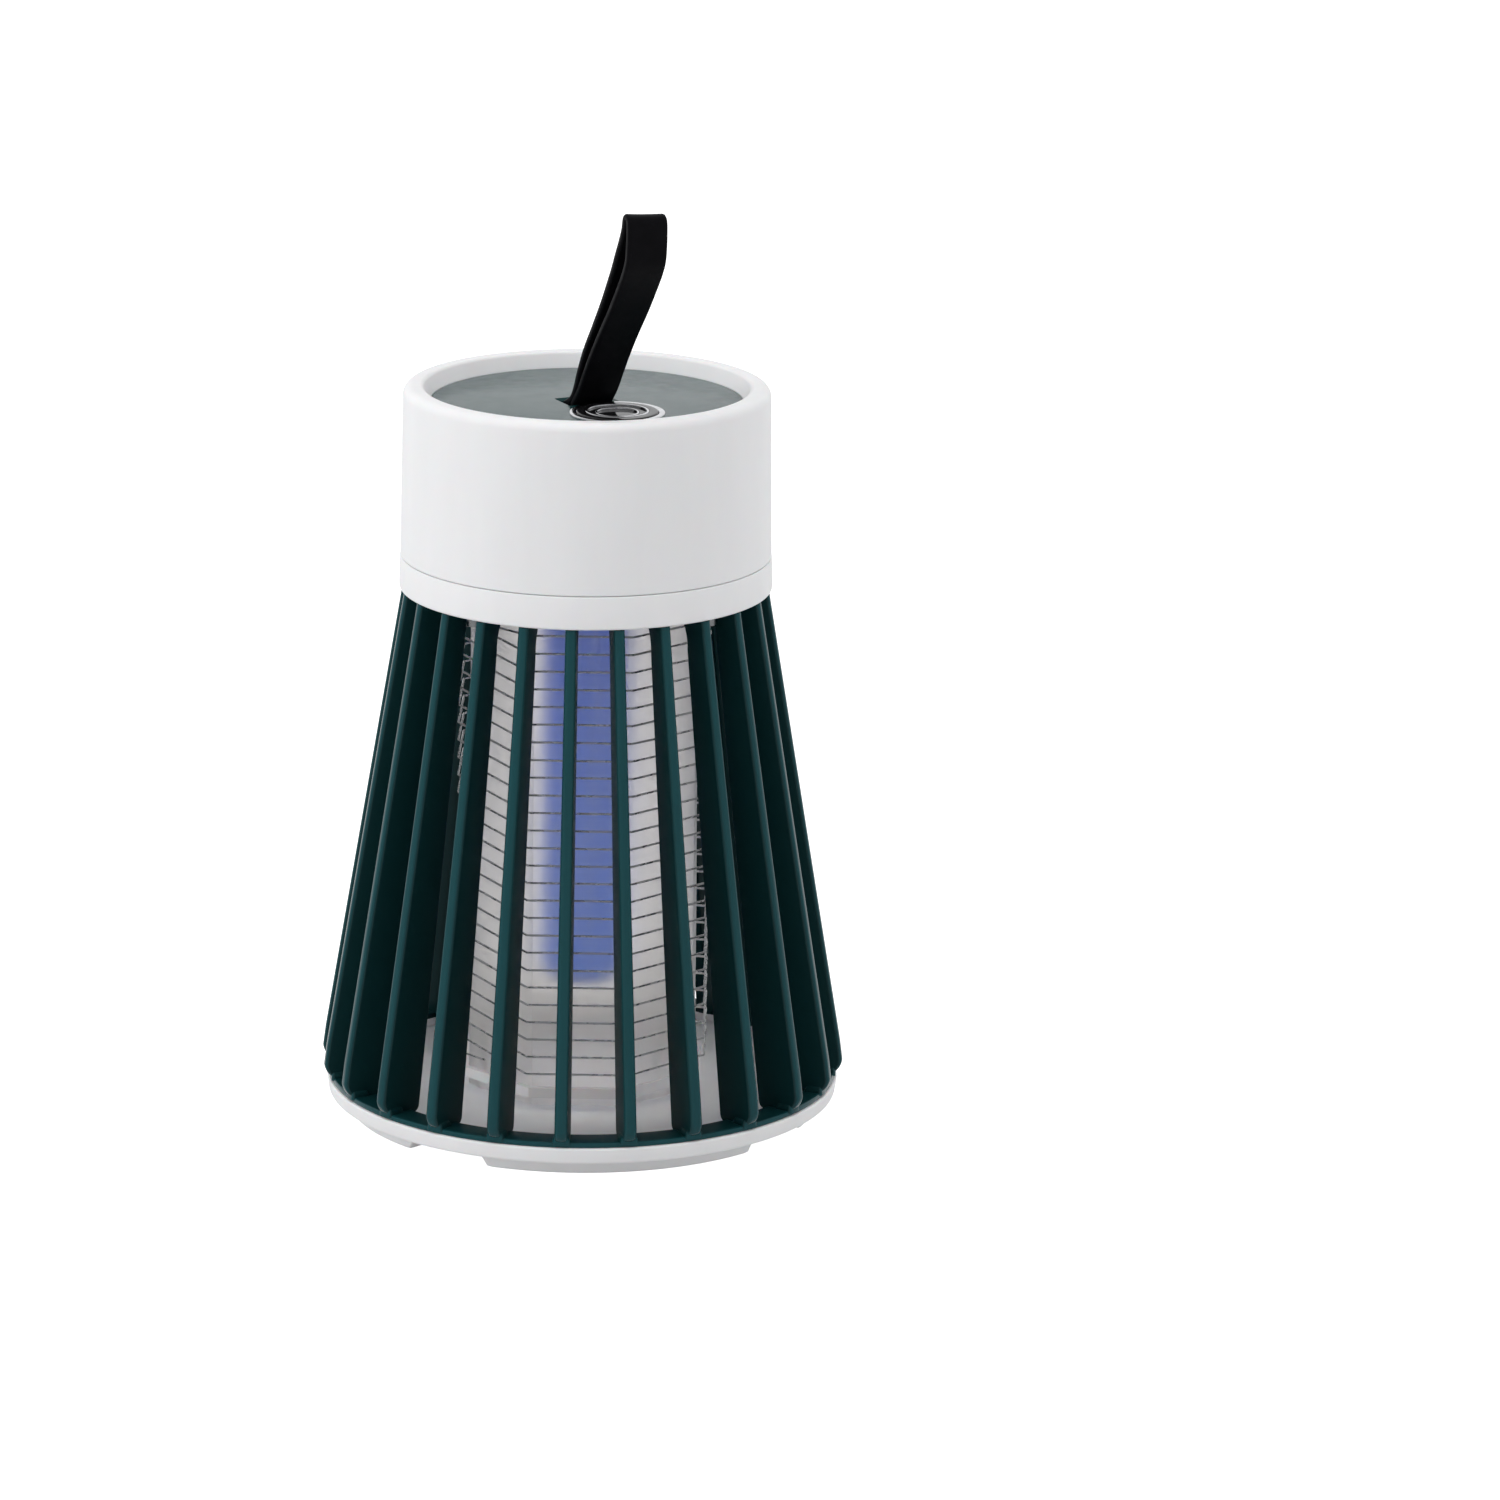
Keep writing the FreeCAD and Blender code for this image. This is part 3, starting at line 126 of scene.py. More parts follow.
def add_faces(bm, rings, closed_rings=True, closed_stack=False):
    """Skin rows of vertices; every row has the same number of vertices."""
    count = len(rings[0])
    rows = len(rings) if closed_stack else len(rings) - 1
    for row in range(rows):
        near, far = rings[row], rings[(row + 1) % len(rings)]
        for step in range(count if closed_rings else count - 1):
            after = (step + 1) % count
            loop = []
            for vert in (near[step], near[after], far[after], far[step]):
                if vert not in loop:
                    loop.append(vert)
            if len(loop) > 2:
                bm.faces.new(loop)


def lathe(outline, steps=TURNS, centre=(0.0, 0.0), sweep=TAU, start=0.0):
    """Turn a closed outline of (radius, height) about an upright axis."""
    bm = bmesh.new()
    whole = sweep > TAU - 1e-6
    stations = steps if whole else steps + 1
    hub = {}
    rings = []
    for station in range(stations):
        angle = start + sweep * station / steps
        ring = []
        for index, (radius, height) in enumerate(outline):
            if radius < 1e-6:
                if index not in hub:
                    hub[index] = bm.verts.new((centre[0], centre[1], height))
                ring.append(hub[index])
            else:
                across = centre[0] + radius * math.cos(angle)
                along = centre[1] + radius * math.sin(angle)
                ring.append(bm.verts.new((across, along, height)))
        rings.append(ring)
    add_faces(bm, rings, closed_stack=whole)
    if not whole:
        bm.faces.new(rings[0])
        bm.faces.new(rings[-1])
    return tidy(bm)


def prism(outline, low, high):
    """An upright solid with straight sides from an (x, y) outline."""
    bm = bmesh.new()
    rings = []
    for height in (low, high):
        rings.append([bm.verts.new((point[0], point[1], height)) for point in outline])
    add_faces(bm, rings)
    bm.faces.new(rings[0])
    bm.faces.new(rings[-1])
    return tidy(bm)


def loft(rings, capped=True):
    """A solid skinned over rows of points."""
    bm = bmesh.new()
    rows = [[bm.verts.new(point) for point in ring] for ring in rings]
    add_faces(bm, rows)
    if capped:
        bm.faces.new(rows[0])
        bm.faces.new(rows[-1])
    return tidy(bm)


def tidy(bm):
    bmesh.ops.remove_doubles(bm, verts=bm.verts, dist=1e-5)
    bmesh.ops.recalc_face_normals(bm, faces=bm.faces)
    return bm


def merged(parts):
    """One bmesh that holds every part."""
    whole = bmesh.new()
    for part in parts:
        scratch = bpy.data.meshes.new("scratch")
        part.to_mesh(scratch)
        whole.from_mesh(scratch)
        bpy.data.meshes.remove(scratch)
    return whole


def repeated(make, count, start=0.0):
    """Copies of a part spaced evenly around the Z axis."""
    parts = []
    for step in range(count):
        part = make()
        turn = Matrix.Rotation(start + TAU * step / count, 4, "Z")
        bmesh.ops.transform(part, matrix=turn, verts=part.verts)
        parts.append(part)
    return merged(parts)


def combined(base, other, operation):
    """Exact boolean of two closed meshes."""
    holders = []
    for label, part in (("base", base), ("other", other)):
        mesh = bpy.data.meshes.new(label)
        part.to_mesh(mesh)
        holders.append(placed(label, mesh))
    change = holders[0].modifiers.new("boolean", "BOOLEAN")
    change.object = holders[1]
    change.operation = operation
    change.solver = "MANIFOLD"
    bpy.context.view_layer.update()
    graph = bpy.context.evaluated_depsgraph_get()
    result = bmesh.new()
    result.from_mesh(holders[0].evaluated_get(graph).to_mesh())
    for holder in holders:
        mesh = holder.data
        bpy.data.objects.remove(holder)
        bpy.data.meshes.remove(mesh)
    if not result.faces:
        raise RuntimeError("a boolean left nothing")
    return result


def union(base, *others):
    for other in others:
        base = combined(base, other, "UNION")
    return base


def cut(base, *others):
    for other in others:
        base = combined(base, other, "DIFFERENCE")
    return base


def post(spot, radius, low, high, steps=32):
    """An upright round bar, used to add bosses and to cut holes."""
    return lathe([(0, low), (radius, low), (radius, high), (0, high)], steps, centre=spot)


def ring_spots(radius, turn, count):
    """Spots spaced evenly on a circle; turn is in degrees."""
    spots = []
    for step in range(count):
        angle = math.radians(turn) + TAU * step / count
        spots.append((radius * math.cos(angle), radius * math.sin(angle)))
    return spots


def placed(name, data):
    """A new object in the scene that shows this mesh, light or camera."""
    thing = bpy.data.objects.new(name, data)
    bpy.context.scene.collection.objects.link(thing)
    return thing


def publish(bm, name, *nodes, sharp=38.0):
    """Show a mesh as the piece that stands for these CAD nodes."""
    bmesh.ops.transform(bm, matrix=Matrix.Scale(MM, 4), verts=bm.verts)
    bmesh.ops.recalc_face_normals(bm, faces=bm.faces)
    mesh = bpy.data.meshes.new(name)
    bm.to_mesh(mesh)
    bm.free()
    mesh.shade_smooth()
    mesh.set_sharp_from_angle(angle=math.radians(sharp))
    piece = placed(name, mesh)
    mesh.materials.append(finish(slot_of(nodes[0])))
    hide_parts(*nodes)
    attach(piece, body_of(nodes[0]))


# --------------------------------------------------------------- finishes

class Finish:
    """A node material that is built up texture by texture."""

    def __init__(self, name):
        self.material = bpy.data.materials.new(name)
        self.material.use_nodes = True
        self.tree = self.material.node_tree
        self.shader = self.tree.nodes["Principled BSDF"]
        self.output = self.tree.nodes["Material Output"]
        self.place = self.add("ShaderNodeTexCoord").outputs["Object"]

    def add(self, kind, **settings):
        node = self.tree.nodes.new(kind)
        for key, value in settings.items():
            setattr(node, key, value)
        return node

    def join(self, source, target):
        self.tree.links.new(source, target)

    def scaled(self, size, stretch=(1, 1, 1)):
        """Object coordinates in units of this many millimetres."""
        mapping = self.add("ShaderNodeMapping")
        mapping.inputs["Scale"].default_value = [1 / (size * MM * part) for part in stretch]
        self.join(self.place, mapping.inputs["Vector"])
        return mapping.outputs["Vector"]

    def clouds(self, size, detail=2.0, stretch=(1, 1, 1)):
        """Noise whose spots are about this many millimetres wide."""
        texture = self.add("ShaderNodeTexNoise")
        texture.inputs["Scale"].default_value = 1.0
        texture.inputs["Detail"].default_value = detail
        self.join(self.scaled(size, stretch), texture.inputs["Vector"])
        return texture.outputs["Fac"]

    def grain(self, size):
        """Cells of about this many millimetres, as a distance."""
        texture = self.add("ShaderNodeTexVoronoi")
        texture.inputs["Scale"].default_value = 1.0
        self.join(self.scaled(size), texture.inputs["Vector"])
        return texture.outputs["Distance"]

    def bands(self, size, axis):
        """Even ripples along one axis, about this many millimetres apart."""
        texture = self.add("ShaderNodeTexWave", bands_direction=axis)
        texture.inputs["Scale"].default_value = 1.0
        self.join(self.scaled(size), texture.inputs["Vector"])
        return texture.outputs["Fac"]

    def between(self, value, low, high, start=0.35, end=0.65):
        """Map a texture's middle range to low..high."""
        node = self.add("ShaderNodeMapRange")
        node.inputs["From Min"].default_value = start
        node.inputs["From Max"].default_value = end
        node.inputs["To Min"].default_value = low
        node.inputs["To Max"].default_value = high
        self.join(value, node.inputs["Value"])
        return node.outputs["Result"]

    def blend(self, share, first, second):
        """Mix two colours; each is a triple or a socket."""
        node = self.add("ShaderNodeMix", data_type="RGBA")
        self.join(share, node.inputs["Factor"])
        for socket, colour in ((node.inputs[6], first), (node.inputs[7], second)):
            if isinstance(colour, tuple):
                socket.default_value = (*colour, 1)
            else:
                self.join(colour, socket)
        return node.outputs[2]

    def relief(self, *layers):
        """Bump from (height, depth in millimetres) layers."""
        normal = None
        for height, depth in layers:
            node = self.add("ShaderNodeBump")
            node.inputs["Strength"].default_value = 1.0
            node.inputs["Distance"].default_value = depth * MM
            self.join(height, node.inputs["Height"])
            if normal is not None:
                self.join(normal, node.inputs["Normal"])
            normal = node.outputs["Normal"]
        return normal

    def set(self, **values):
        """Set shader inputs by name, with _ for a space; sockets are linked."""
        for key, value in values.items():
            socket = self.shader.inputs[key.replace("_", " ")]
            if isinstance(value, bpy.types.NodeSocket):
                self.join(value, socket)
            elif isinstance(value, tuple):
                socket.default_value = (*value, 1)
            else:
                socket.default_value = value
        return self


def moulded(name, colour, variation, roughness, peel=0.004, flow=(1, 1, 6), grain=0.0):
    """Injection-moulded plastic with flow marks, fine peel and uneven gloss."""
    look = Finish(name)
    darker = tuple(part * (1 - variation) for part in colour)
    lighter = tuple(part * (1 + variation) for part in colour)
    marks = look.clouds(9.0, 4.0, flow)
    shade = look.blend(look.between(marks, 0, 1), darker, lighter)
    gloss = look.between(look.clouds(3.0, 3.0), roughness * 0.86, roughness * 1.14)
    layers = [(look.clouds(6.0, 1.0), peel * 2.5), (look.clouds(0.7, 2.0), peel)]
    if grain:
        layers.append((look.clouds(0.12, 3.0), grain))
    look.set(Base_Color=shade, Roughness=gloss, Normal=look.relief(*layers))
    return look


def white_plastic():
    look = moulded("white_plastic", (0.82, 0.82, 0.83), 0.012, 0.36, peel=0.0016, grain=0.0006)
    look.set(Subsurface_Weight=0.12, Subsurface_Scale=0.002)
    return look


def green_plastic():
    look = moulded("green_plastic", (0.0040, 0.0540, 0.0630), 0.04, 0.24, peel=0.0008)
    specks = look.between(look.grain(5.0), 1.0, 0.0, 0.012, 0.022)
    dusty = look.blend(specks, look.shader.inputs["Base Color"].links[0].from_socket,
                       (0.03, 0.09, 0.09))
    # Painted shade: faces that turn sideways, away from the outward radial, get a darker green
    # than the outward faces, and weaker, rougher reflection. The outward faces keep the dusty
    # colour.
    outward = look.add("ShaderNodeVectorMath", operation="NORMALIZE")
    flat = look.add("ShaderNodeVectorMath", operation="MULTIPLY")
    flat.inputs[1].default_value = (1, 1, 0)
    look.join(look.place, flat.inputs[0])
    look.join(flat.outputs["Vector"], outward.inputs[0])
    facing = look.add("ShaderNodeVectorMath", operation="DOT_PRODUCT")
    look.join(outward.outputs["Vector"], facing.inputs[0])
    look.join(look.add("ShaderNodeNewGeometry").outputs["Normal"], facing.inputs[1])
    edge = facing.outputs["Value"]
    look.set(Base_Color=look.blend(look.between(edge, 0, 1, 0.2, 0.9), (0.0028, 0.0260, 0.0285),
                                   dusty),
             Specular_IOR_Level=look.between(edge, 0.10, 0.42, 0.15, 0.6),
             Roughness=look.between(edge, 0.50, 0.20, 0.15, 0.6))
    return look


def panel_green():
    return moulded("panel_green", (0.0060, 0.0420, 0.0430), 0.06, 0.20, peel=0.0012,
                   flow=(1, 5, 1), grain=0.0008)


def black_gloss():
    return moulded("black_gloss", (0.010, 0.010, 0.011), 0.15, 0.09, peel=0.0010)


def milky_plastic():
    look = moulded("milky_plastic", (0.78, 0.78, 0.79), 0.02, 0.34, peel=0.003)
    look.set(Subsurface_Weight=0.35, Subsurface_Scale=0.003)
    return look


def black_silicone():
    """Matt silicone: fine mould grain, faint lint and a soft sheen."""
    look = Finish("black_silicone")
    lint = look.between(look.grain(3.0), 1.0, 0.0, 0.02, 0.05)
    body = look.blend(look.between(look.clouds(5.0, 3.0), 0, 1), (0.0026, 0.0024, 0.0034),
                      (0.0038, 0.0035, 0.0048))
    look.set(Base_Color=look.blend(lint, body, (0.030, 0.030, 0.034)),
             Roughness=look.between(look.clouds(2.0, 4.0), 0.42, 0.54),
             Specular_IOR_Level=0.12,
             Normal=look.relief((look.clouds(4.0, 2.0), 0.03), (look.clouds(0.16, 2.0), 0.010)))
    return look


def metal(name, colour, roughness, brush=(1, 1, 1), depth=0.002):
    look = Finish(name)
    shade = look.blend(look.between(look.clouds(2.0, 4.0, brush), 0, 1),
                       tuple(part * 0.86 for part in colour), colour)
    look.set(Base_Color=shade, Metallic=1.0,
             Roughness=look.between(look.clouds(1.0, 3.0, brush), roughness * 0.7,
                                    roughness * 1.4),
             Normal=look.relief((look.clouds(0.3, 2.0, brush), depth)))
    return look


def bright_trim():
    return metal("bright_trim", (0.82, 0.82, 0.84), 0.14, depth=0.0006)


def electrode_steel():
    return metal("electrode_steel", (0.70, 0.70, 0.71), 0.26, brush=(3, 3, 1))


def screw_steel():
    return metal("screw_steel", (0.60, 0.61, 0.62), 0.30)


def nickel():
    return metal("nickel", (0.70, 0.69, 0.66), 0.32, brush=(1, 6, 1))


def copper():
    look = metal("copper", (0.72, 0.34, 0.17), 0.30)
    return look.set(Normal=look.relief((look.bands(1.6, "Y"), 0.12)))


def milky_film():
    """Thin frosted film: it blurs what stands behind it and veils it a little."""
    look = Finish("milky_film")
    streaks = look.clouds(3.2, 3.0, (1, 1, 14))
    creases = look.clouds(5.0, 3.0, (1, 1, 1.5))
    normal = look.relief((streaks, 0.05), (creases, 0.16))
    window = look.add("ShaderNodeBsdfRefraction")
    window.inputs["Color"].default_value = (1.0, 0.99, 0.978, 1)
    window.inputs["Roughness"].default_value = 0.62
    window.inputs["IOR"].default_value = 1.16
    diffuse = look.add("ShaderNodeBsdfDiffuse")
    through = look.add("ShaderNodeBsdfTranslucent")
    for veil in (diffuse, through):
        veil.inputs["Color"].default_value = (0.93, 0.93, 0.92, 1)
    shine = look.add("ShaderNodeBsdfGlossy")
    shine.inputs["Roughness"].default_value = 0.35
    for shader in (window, diffuse, through, shine):
        look.join(normal, shader.inputs["Normal"])
    veil = look.add("ShaderNodeMixShader")
    veil.inputs["Fac"].default_value = 0.5
    look.join(diffuse.outputs[0], veil.inputs[1])
    look.join(through.outputs[0], veil.inputs[2])
    body = look.add("ShaderNodeMixShader")
    look.join(look.between(streaks, 0.09, 0.16), body.inputs["Fac"])
    look.join(window.outputs[0], body.inputs[1])
    look.join(veil.outputs[0], body.inputs[2])
    rim = look.add("ShaderNodeFresnel")
    rim.inputs["IOR"].default_value = 1.35
    surface = look.add("ShaderNodeMixShader")
    look.join(rim.outputs[0], surface.inputs["Fac"])
    look.join(body.outputs[0], surface.inputs[1])
    look.join(shine.outputs[0], surface.inputs[2])
    look.join(surface.outputs[0], look.output.inputs["Surface"])
    return look


def guide_blue():
    """Blue light pipe with a faint glow that fades towards its lower end."""
    look = Finish("guide_blue")
    height = look.add("ShaderNodeSeparateXYZ")
    look.join(look.place, height.inputs[0])
    fade = look.between(height.outputs["Z"], 0.0, 1.0, GUIDE_LOW.z * MM, GUIDE_HIGH.z * MM)
    shade = look.blend(fade, (0.016, 0.085, 0.40), (0.006, 0.050, 0.34))
    look.set(Base_Color=shade, Roughness=look.between(look.clouds(2.0, 2.0), 0.25, 0.4),
             Emission_Color=look.blend(fade, (0.010, 0.085, 0.42), (0.004, 0.055, 0.38)),
             Emission_Strength=0.27,
             Normal=look.relief((look.clouds(3.0, 2.0, (1, 1, 6)), 0.01)))
    return look


def board_green():
    """Solder mask with faint copper tracks under it."""
    look = Finish("board_green")
    bricks = look.add("ShaderNodeTexBrick")
    bricks.inputs["Scale"].default_value = 1.0
    bricks.inputs["Mortar Size"].default_value = 0.06
    look.join(look.scaled(5.0), bricks.inputs["Vector"])
    shade = look.blend(bricks.outputs["Fac"], (0.010, 0.085, 0.035), (0.035, 0.19, 0.075))
    look.set(Base_Color=shade, Roughness=look.between(look.clouds(1.0, 3.0), 0.3, 0.42),
             Normal=look.relief((bricks.outputs["Fac"], 0.03)))
    return look


def dark_component():
    return moulded("dark_component", (0.018, 0.018, 0.019), 0.20, 0.42, peel=0.004, grain=0.004)


def ferrite():
    return moulded("ferrite", (0.060, 0.060, 0.064), 0.25, 0.55, peel=0.010, grain=0.012)


def film_capacitor():
    return moulded("film_capacitor", (0.36, 0.085, 0.015), 0.12, 0.22, peel=0.010)


def cell_wrap():
    return moulded("cell_wrap", (0.012, 0.070, 0.24), 0.08, 0.24, peel=0.004, flow=(6, 1, 1))


def lead_insulation():
    return moulded("lead_insulation", (0.42, 0.016, 0.012), 0.10, 0.40, peel=0.004)


FINISHES = {make.__name__: make for make in (
    white_plastic, green_plastic, panel_green, black_gloss, bright_trim, black_silicone,
    milky_plastic, milky_film, electrode_steel, guide_blue, screw_steel, board_green,
    dark_component, ferrite, copper, film_capacitor, cell_wrap, nickel, lead_insulation)}
made_finishes = {}


def finish(slot):
    """The material of one of the record's slots, made once."""
    if slot not in made_finishes:
        made_finishes[slot] = FINISHES[slot]().material
    return made_finishes[slot]


# -------------------------------------------------------------- base tray

def make_tray():
    radius = TRAY_HIGH.x
    top = TRAY_HIGH.z
    step = 3.3
    floor = 5.0
    well = 48.9
    foot_inner, foot_outer = 44.0, 50.6
    bite = 0.4
    foot_arc, ramp = 72.0, 2.5
    dish = lathe(rounded([
        (0, step), (radius - 0.5, step, 0.8), (radius, top, 0.45), (well + 0.2, top, 0.35),
        (well, floor, 0.5), (0, floor),
    ]))

    def foot():
        """A low arc under the tray whose ends ramp up into it."""
        rings = []
        steps = 60
        for station in range(steps + 1):
            turn = foot_arc * (station / steps - 0.5)
            lift = max(0.0, 1 - (foot_arc / 2 - abs(turn)) / ramp) * step
            outline = rounded([
                (foot_inner, step + bite), (foot_inner, lift, 0.4), (foot_outer, lift, 0.6),
                (foot_outer + 0.2, step + bite),
            ])
            angle = math.radians(turn)
            rings.append([(across * math.cos(angle), across * math.sin(angle),
                           min(up, step + bite)) for across, up in outline])
        return loft(rings)

    feet = repeated(foot, 4, math.radians(-15))
    slack = 0.6
    travel = 16.0
    gap, past = 0.2, 0.2
    track_low, track_top = 4.3, 5.4

    def track():
        """Room for a hook under the rim, over its whole travel."""
        reach = math.radians(HOOK_ARC + travel + 2 * slack)
        return lathe([
            (NECK_IN - HOOK_TOE - gap, track_low), (NECK_OUT + gap, track_low),
            (NECK_OUT + gap, top + past), (NECK_IN - 0.1, top + past), (NECK_IN - 0.1, track_top),
            (NECK_IN - HOOK_TOE - gap, track_top),
        ], 24, sweep=reach, start=math.radians(-travel / 2) - reach / 2)

    def window():
        """Opening in the rim where a hook drops in."""
        reach = math.radians(HOOK_ARC + 2 * slack)
        return lathe([
            (NECK_IN - HOOK_TOE - gap, floor), (NECK_IN, floor), (NECK_IN, top + past),
            (NECK_IN - HOOK_TOE - gap, top + past),
        ], 12, sweep=reach, start=math.radians(-travel) - reach / 2)

    tray = union(dish, feet)
    tray = cut(tray, repeated(track, 4), repeated(window, 4))
    publish(tray, "dish_tray", "base_tray")


# ------------------------------------------------------------------- cage

def make_cage():
    ring_top = CAGE_HIGH.z
    ring_low = 113.4
    fin_top = 113.9
    fin_low = 7.2
    outer_top, outer_low = 38.9, 56.9
    inner_top, inner_low = 33.9, 46.4
    gusset_low, gusset_r = 107.0, 32.0
    heel, toe = 4.0, 1.5
    half_top, half_low = 1.18, 1.38
    edge_round, inner_round = 0.95, 0.4
    outline = rounded([(inner_low, fin_low, toe), (outer_low, fin_low, heel),
                       (outer_top, fin_top), (inner_top, gusset_low)], steps=10)

    def reach_at(height):
        """Inner and outer radius of a fin at a height, from its outline."""
        crossings = []
        for index, near in enumerate(outline):
            far = outline[(index + 1) % len(outline)]
            if (near.y - height) * (far.y - height) <= 0 and abs(far.y - near.y) > 1e-9:
                share = (height - near.y) / (far.y - near.y)
                crossings.append(near.x + share * (far.x - near.x))
        inner, outer = min(crossings), max(crossings)
        if height > gusset_low:
            rise = (height - gusset_low) / (ring_low - gusset_low)
            inner = inner_top + (gusset_r - inner_top) * min(1.0, rise) ** 2.2
        return inner, outer

    heights = [fin_low + 0.001] + [fin_low + heel * (1 - math.cos(math.radians(turn)))
                                   for turn in range(12, 91, 8)]
    heights += [fin_low + heel + (gusset_low - fin_low - heel) * step / 24
                for step in range(1, 25)]
    heights += [gusset_low + (fin_top - gusset_low) * step / 8 for step in range(1, 9)]

    def fin():
        rings = []
        for height in heights:
            inner, outer = reach_at(height)
            share = (height - fin_low) / (fin_top - fin_low)
            half = half_low + (half_top - half_low) * share
            section = rounded([
                (inner, -half, inner_round), (outer, -half, edge_round),
                (outer, half, edge_round), (inner, half, inner_round),
            ], steps=5)
            rings.append([(across, along, height) for across, along in section])
        return loft(rings)

    def foot_pad():
        """Thickened foot where a fin meets the lower ring."""
        rings = []
        low, high = 7.4, 9.3
        pad_in, pad_out, pad_half = 50.6, 54.75, 1.95
        for step in range(7):
            rise = step / 6
            half = pad_half * (1 - 0.5 * rise ** 2.5)
            inner, outer = pad_in + 0.9 * rise, pad_out - 0.25 * rise ** 2
            section = rounded([
                (inner, -half, 0.5), (outer, -half, 0.7), (outer, half, 0.7),
                (inner, half, 0.5),
            ], steps=4)
            rings.append([(across, along, low + (high - low) * math.sin(rise * math.pi / 2))
                          for across, along in section])
        return loft(rings)

    def hook():
        """Bayonet hook below the lower ring; its toe points inwards."""
        reach = math.radians(HOOK_ARC)
        toe_top, neck_top = 5.2, 7.1
        return lathe([
            (NECK_IN - HOOK_TOE, CAGE_LOW.z), (NECK_OUT, CAGE_LOW.z), (NECK_OUT, neck_top),
            (NECK_IN, neck_top), (NECK_IN, toe_top), (NECK_IN - HOOK_TOE, toe_top),
        ], 12, sweep=reach, start=-reach / 2)

    upper_in, upper_out = gusset_r - 0.2, 36.0
    upper = lathe(rounded([
        (upper_in, ring_low, 0.4), (upper_out, ring_low, 0.3), (upper_out, ring_top, 0.3),
        (upper_in, ring_top, 0.3),
    ], steps=3))
    lower_in, lower_out, lower_low, lower_top = 48.5, 54.4, 6.85, 8.0
    lower = lathe(rounded([
        (lower_in, lower_low, 0.2), (lower_out, lower_low, 0.2), (lower_out, lower_top, 0.5),
        (lower_in, lower_top, 0.35),
    ], steps=4))
    turn = math.radians(-90)
    cage = union(merged([upper, lower]), repeated(fin, FINS, turn), repeated(foot_pad, FINS, turn),
                 repeated(hook, 4))
    holes = [post(spot, 1.3, ring_low - 1, ring_top + 1) for spot in CAGE_SCREWS]
    publish(cut(cage, merged(holes)), "finned_cage", "cage", sharp=42)


# ------------------------------------------------------- collar and housing

CAGE_SCREWS = ring_spots(33.9, 22.5, 4)
SHELL_SCREWS = ring_spots(34.2, 45.0, 4)
SCREW_PILOT = 0.95


def make_collar():
    low, top = COLLAR_LOW.z, COLLAR_HIGH.z
    seam = HOUSING_LOW.z - 0.1
    deck_low, deck_top = 116.6, 118.6
    collar = lathe(rounded([
        (10.6, deck_low), (36.6, deck_low, 0.4), (36.6, low, 0.25), (39.5, low, 0.6),
        (39.34, seam, 0.35), (36.7, seam), (36.7, top, 0.3), (35.2, top, 0.3),
        (35.2, deck_top, 0.5), (10.6, deck_top),
    ]))
    boss_low, boss_r, shell_boss_r = deck_top - 0.5, 2.4, 3.2
    board_z = 143.3
    board_posts = [(x, y) for x in (-14.0, 14.0) for y in (-26.0, 26.0)]
    grid_screws = ring_spots(GRID_SCREWS, -5.0, 2) + [(21.0, 7.4), (-21.0, -7.4)]
    lead_holes = ring_spots(WIRE_FACE, 17.5, 2)
    bosses = [post(spot, boss_r, boss_low, deck_top + 5) for spot in CAGE_SCREWS]
    bosses += [post(spot, boss_r, boss_low, board_z) for spot in board_posts]
    collar = cut(collar, merged([post(spot, shell_boss_r + 0.1, seam - 0.2, top + 1)
                                 for spot in SHELL_SCREWS]))
    bosses += [post(spot, shell_boss_r, boss_low, seam - 0.2) for spot in SHELL_SCREWS]
    holes = [post(spot, SCREW_PILOT, deck_low - 1, deck_top + 4) for spot in CAGE_SCREWS]
    holes += [post(spot, SCREW_PILOT, board_z - 7.9, board_z + 1.1) for spot in board_posts]
    holes += [post(spot, 1.2, deck_low + 1, top) for spot in SHELL_SCREWS]
    holes += [post(spot, SCREW_PILOT, deck_low - 1, deck_top + 1) for spot in grid_screws]
    holes += [post(spot, 1.0, deck_low - 1, deck_top + 1) for spot in lead_holes]
    sinks = [post(spot, 2.2, deck_low - 1, deck_low + 2.2) for spot in SHELL_SCREWS]
    collar = cut(union(collar, merged(bosses)), merged(sinks), merged(holes))
    publish(collar, "white_collar", "housing_collar")


def make_housing():
    low, top = HOUSING_LOW.z, HOUSING_HIGH.z
    outer = HOUSING_HIGH.x
    shell_in, seat_r = 36.8, 32.95
    shelf_top, shelf_low = PANEL_LOW.z - 0.05, 149.8
    housing = lathe(rounded([
        (shell_in, low, 0.2), (outer, low, 0.35), (outer - 0.55, top, 3.3), (34.5, top, 1.1),
        (seat_r, PANEL_HIGH.z, 0.3), (seat_r, shelf_top, 0.2), (0, shelf_top), (0, shelf_low),
        (shell_in, shelf_low, 0.8),
    ], steps=9))
    jack_z = 140.7
    opening = post((0, 0), 3.1, 0, 8, 48)
    place = Matrix.Translation((0, shell_in - 2, jack_z)) @ Matrix.Rotation(-TAU / 4, 4, "X")
    bmesh.ops.transform(opening, matrix=place, verts=opening.verts)
    through = 149, 153
    slot_cut = prism([(-5.5, -3.6), (5.5, -3.6), (5.5, 4.2), (-5.5, 4.2)], *through)
    bosses = [post(spot, 2.8, low, shelf_low + 0.5) for spot in SHELL_SCREWS]
    pilots = [post(spot, SCREW_PILOT, low - 1, low + 12) for spot in SHELL_SCREWS]
    housing = union(housing, merged(bosses))
    housing = cut(housing, merged(pilots), post((0, BUTTON_Y), 9.6, *through, 96), slot_cut,
                  opening)
    publish(housing, "white_housing", "top_housing")


# --------------------------------------------------- panel, button and strap

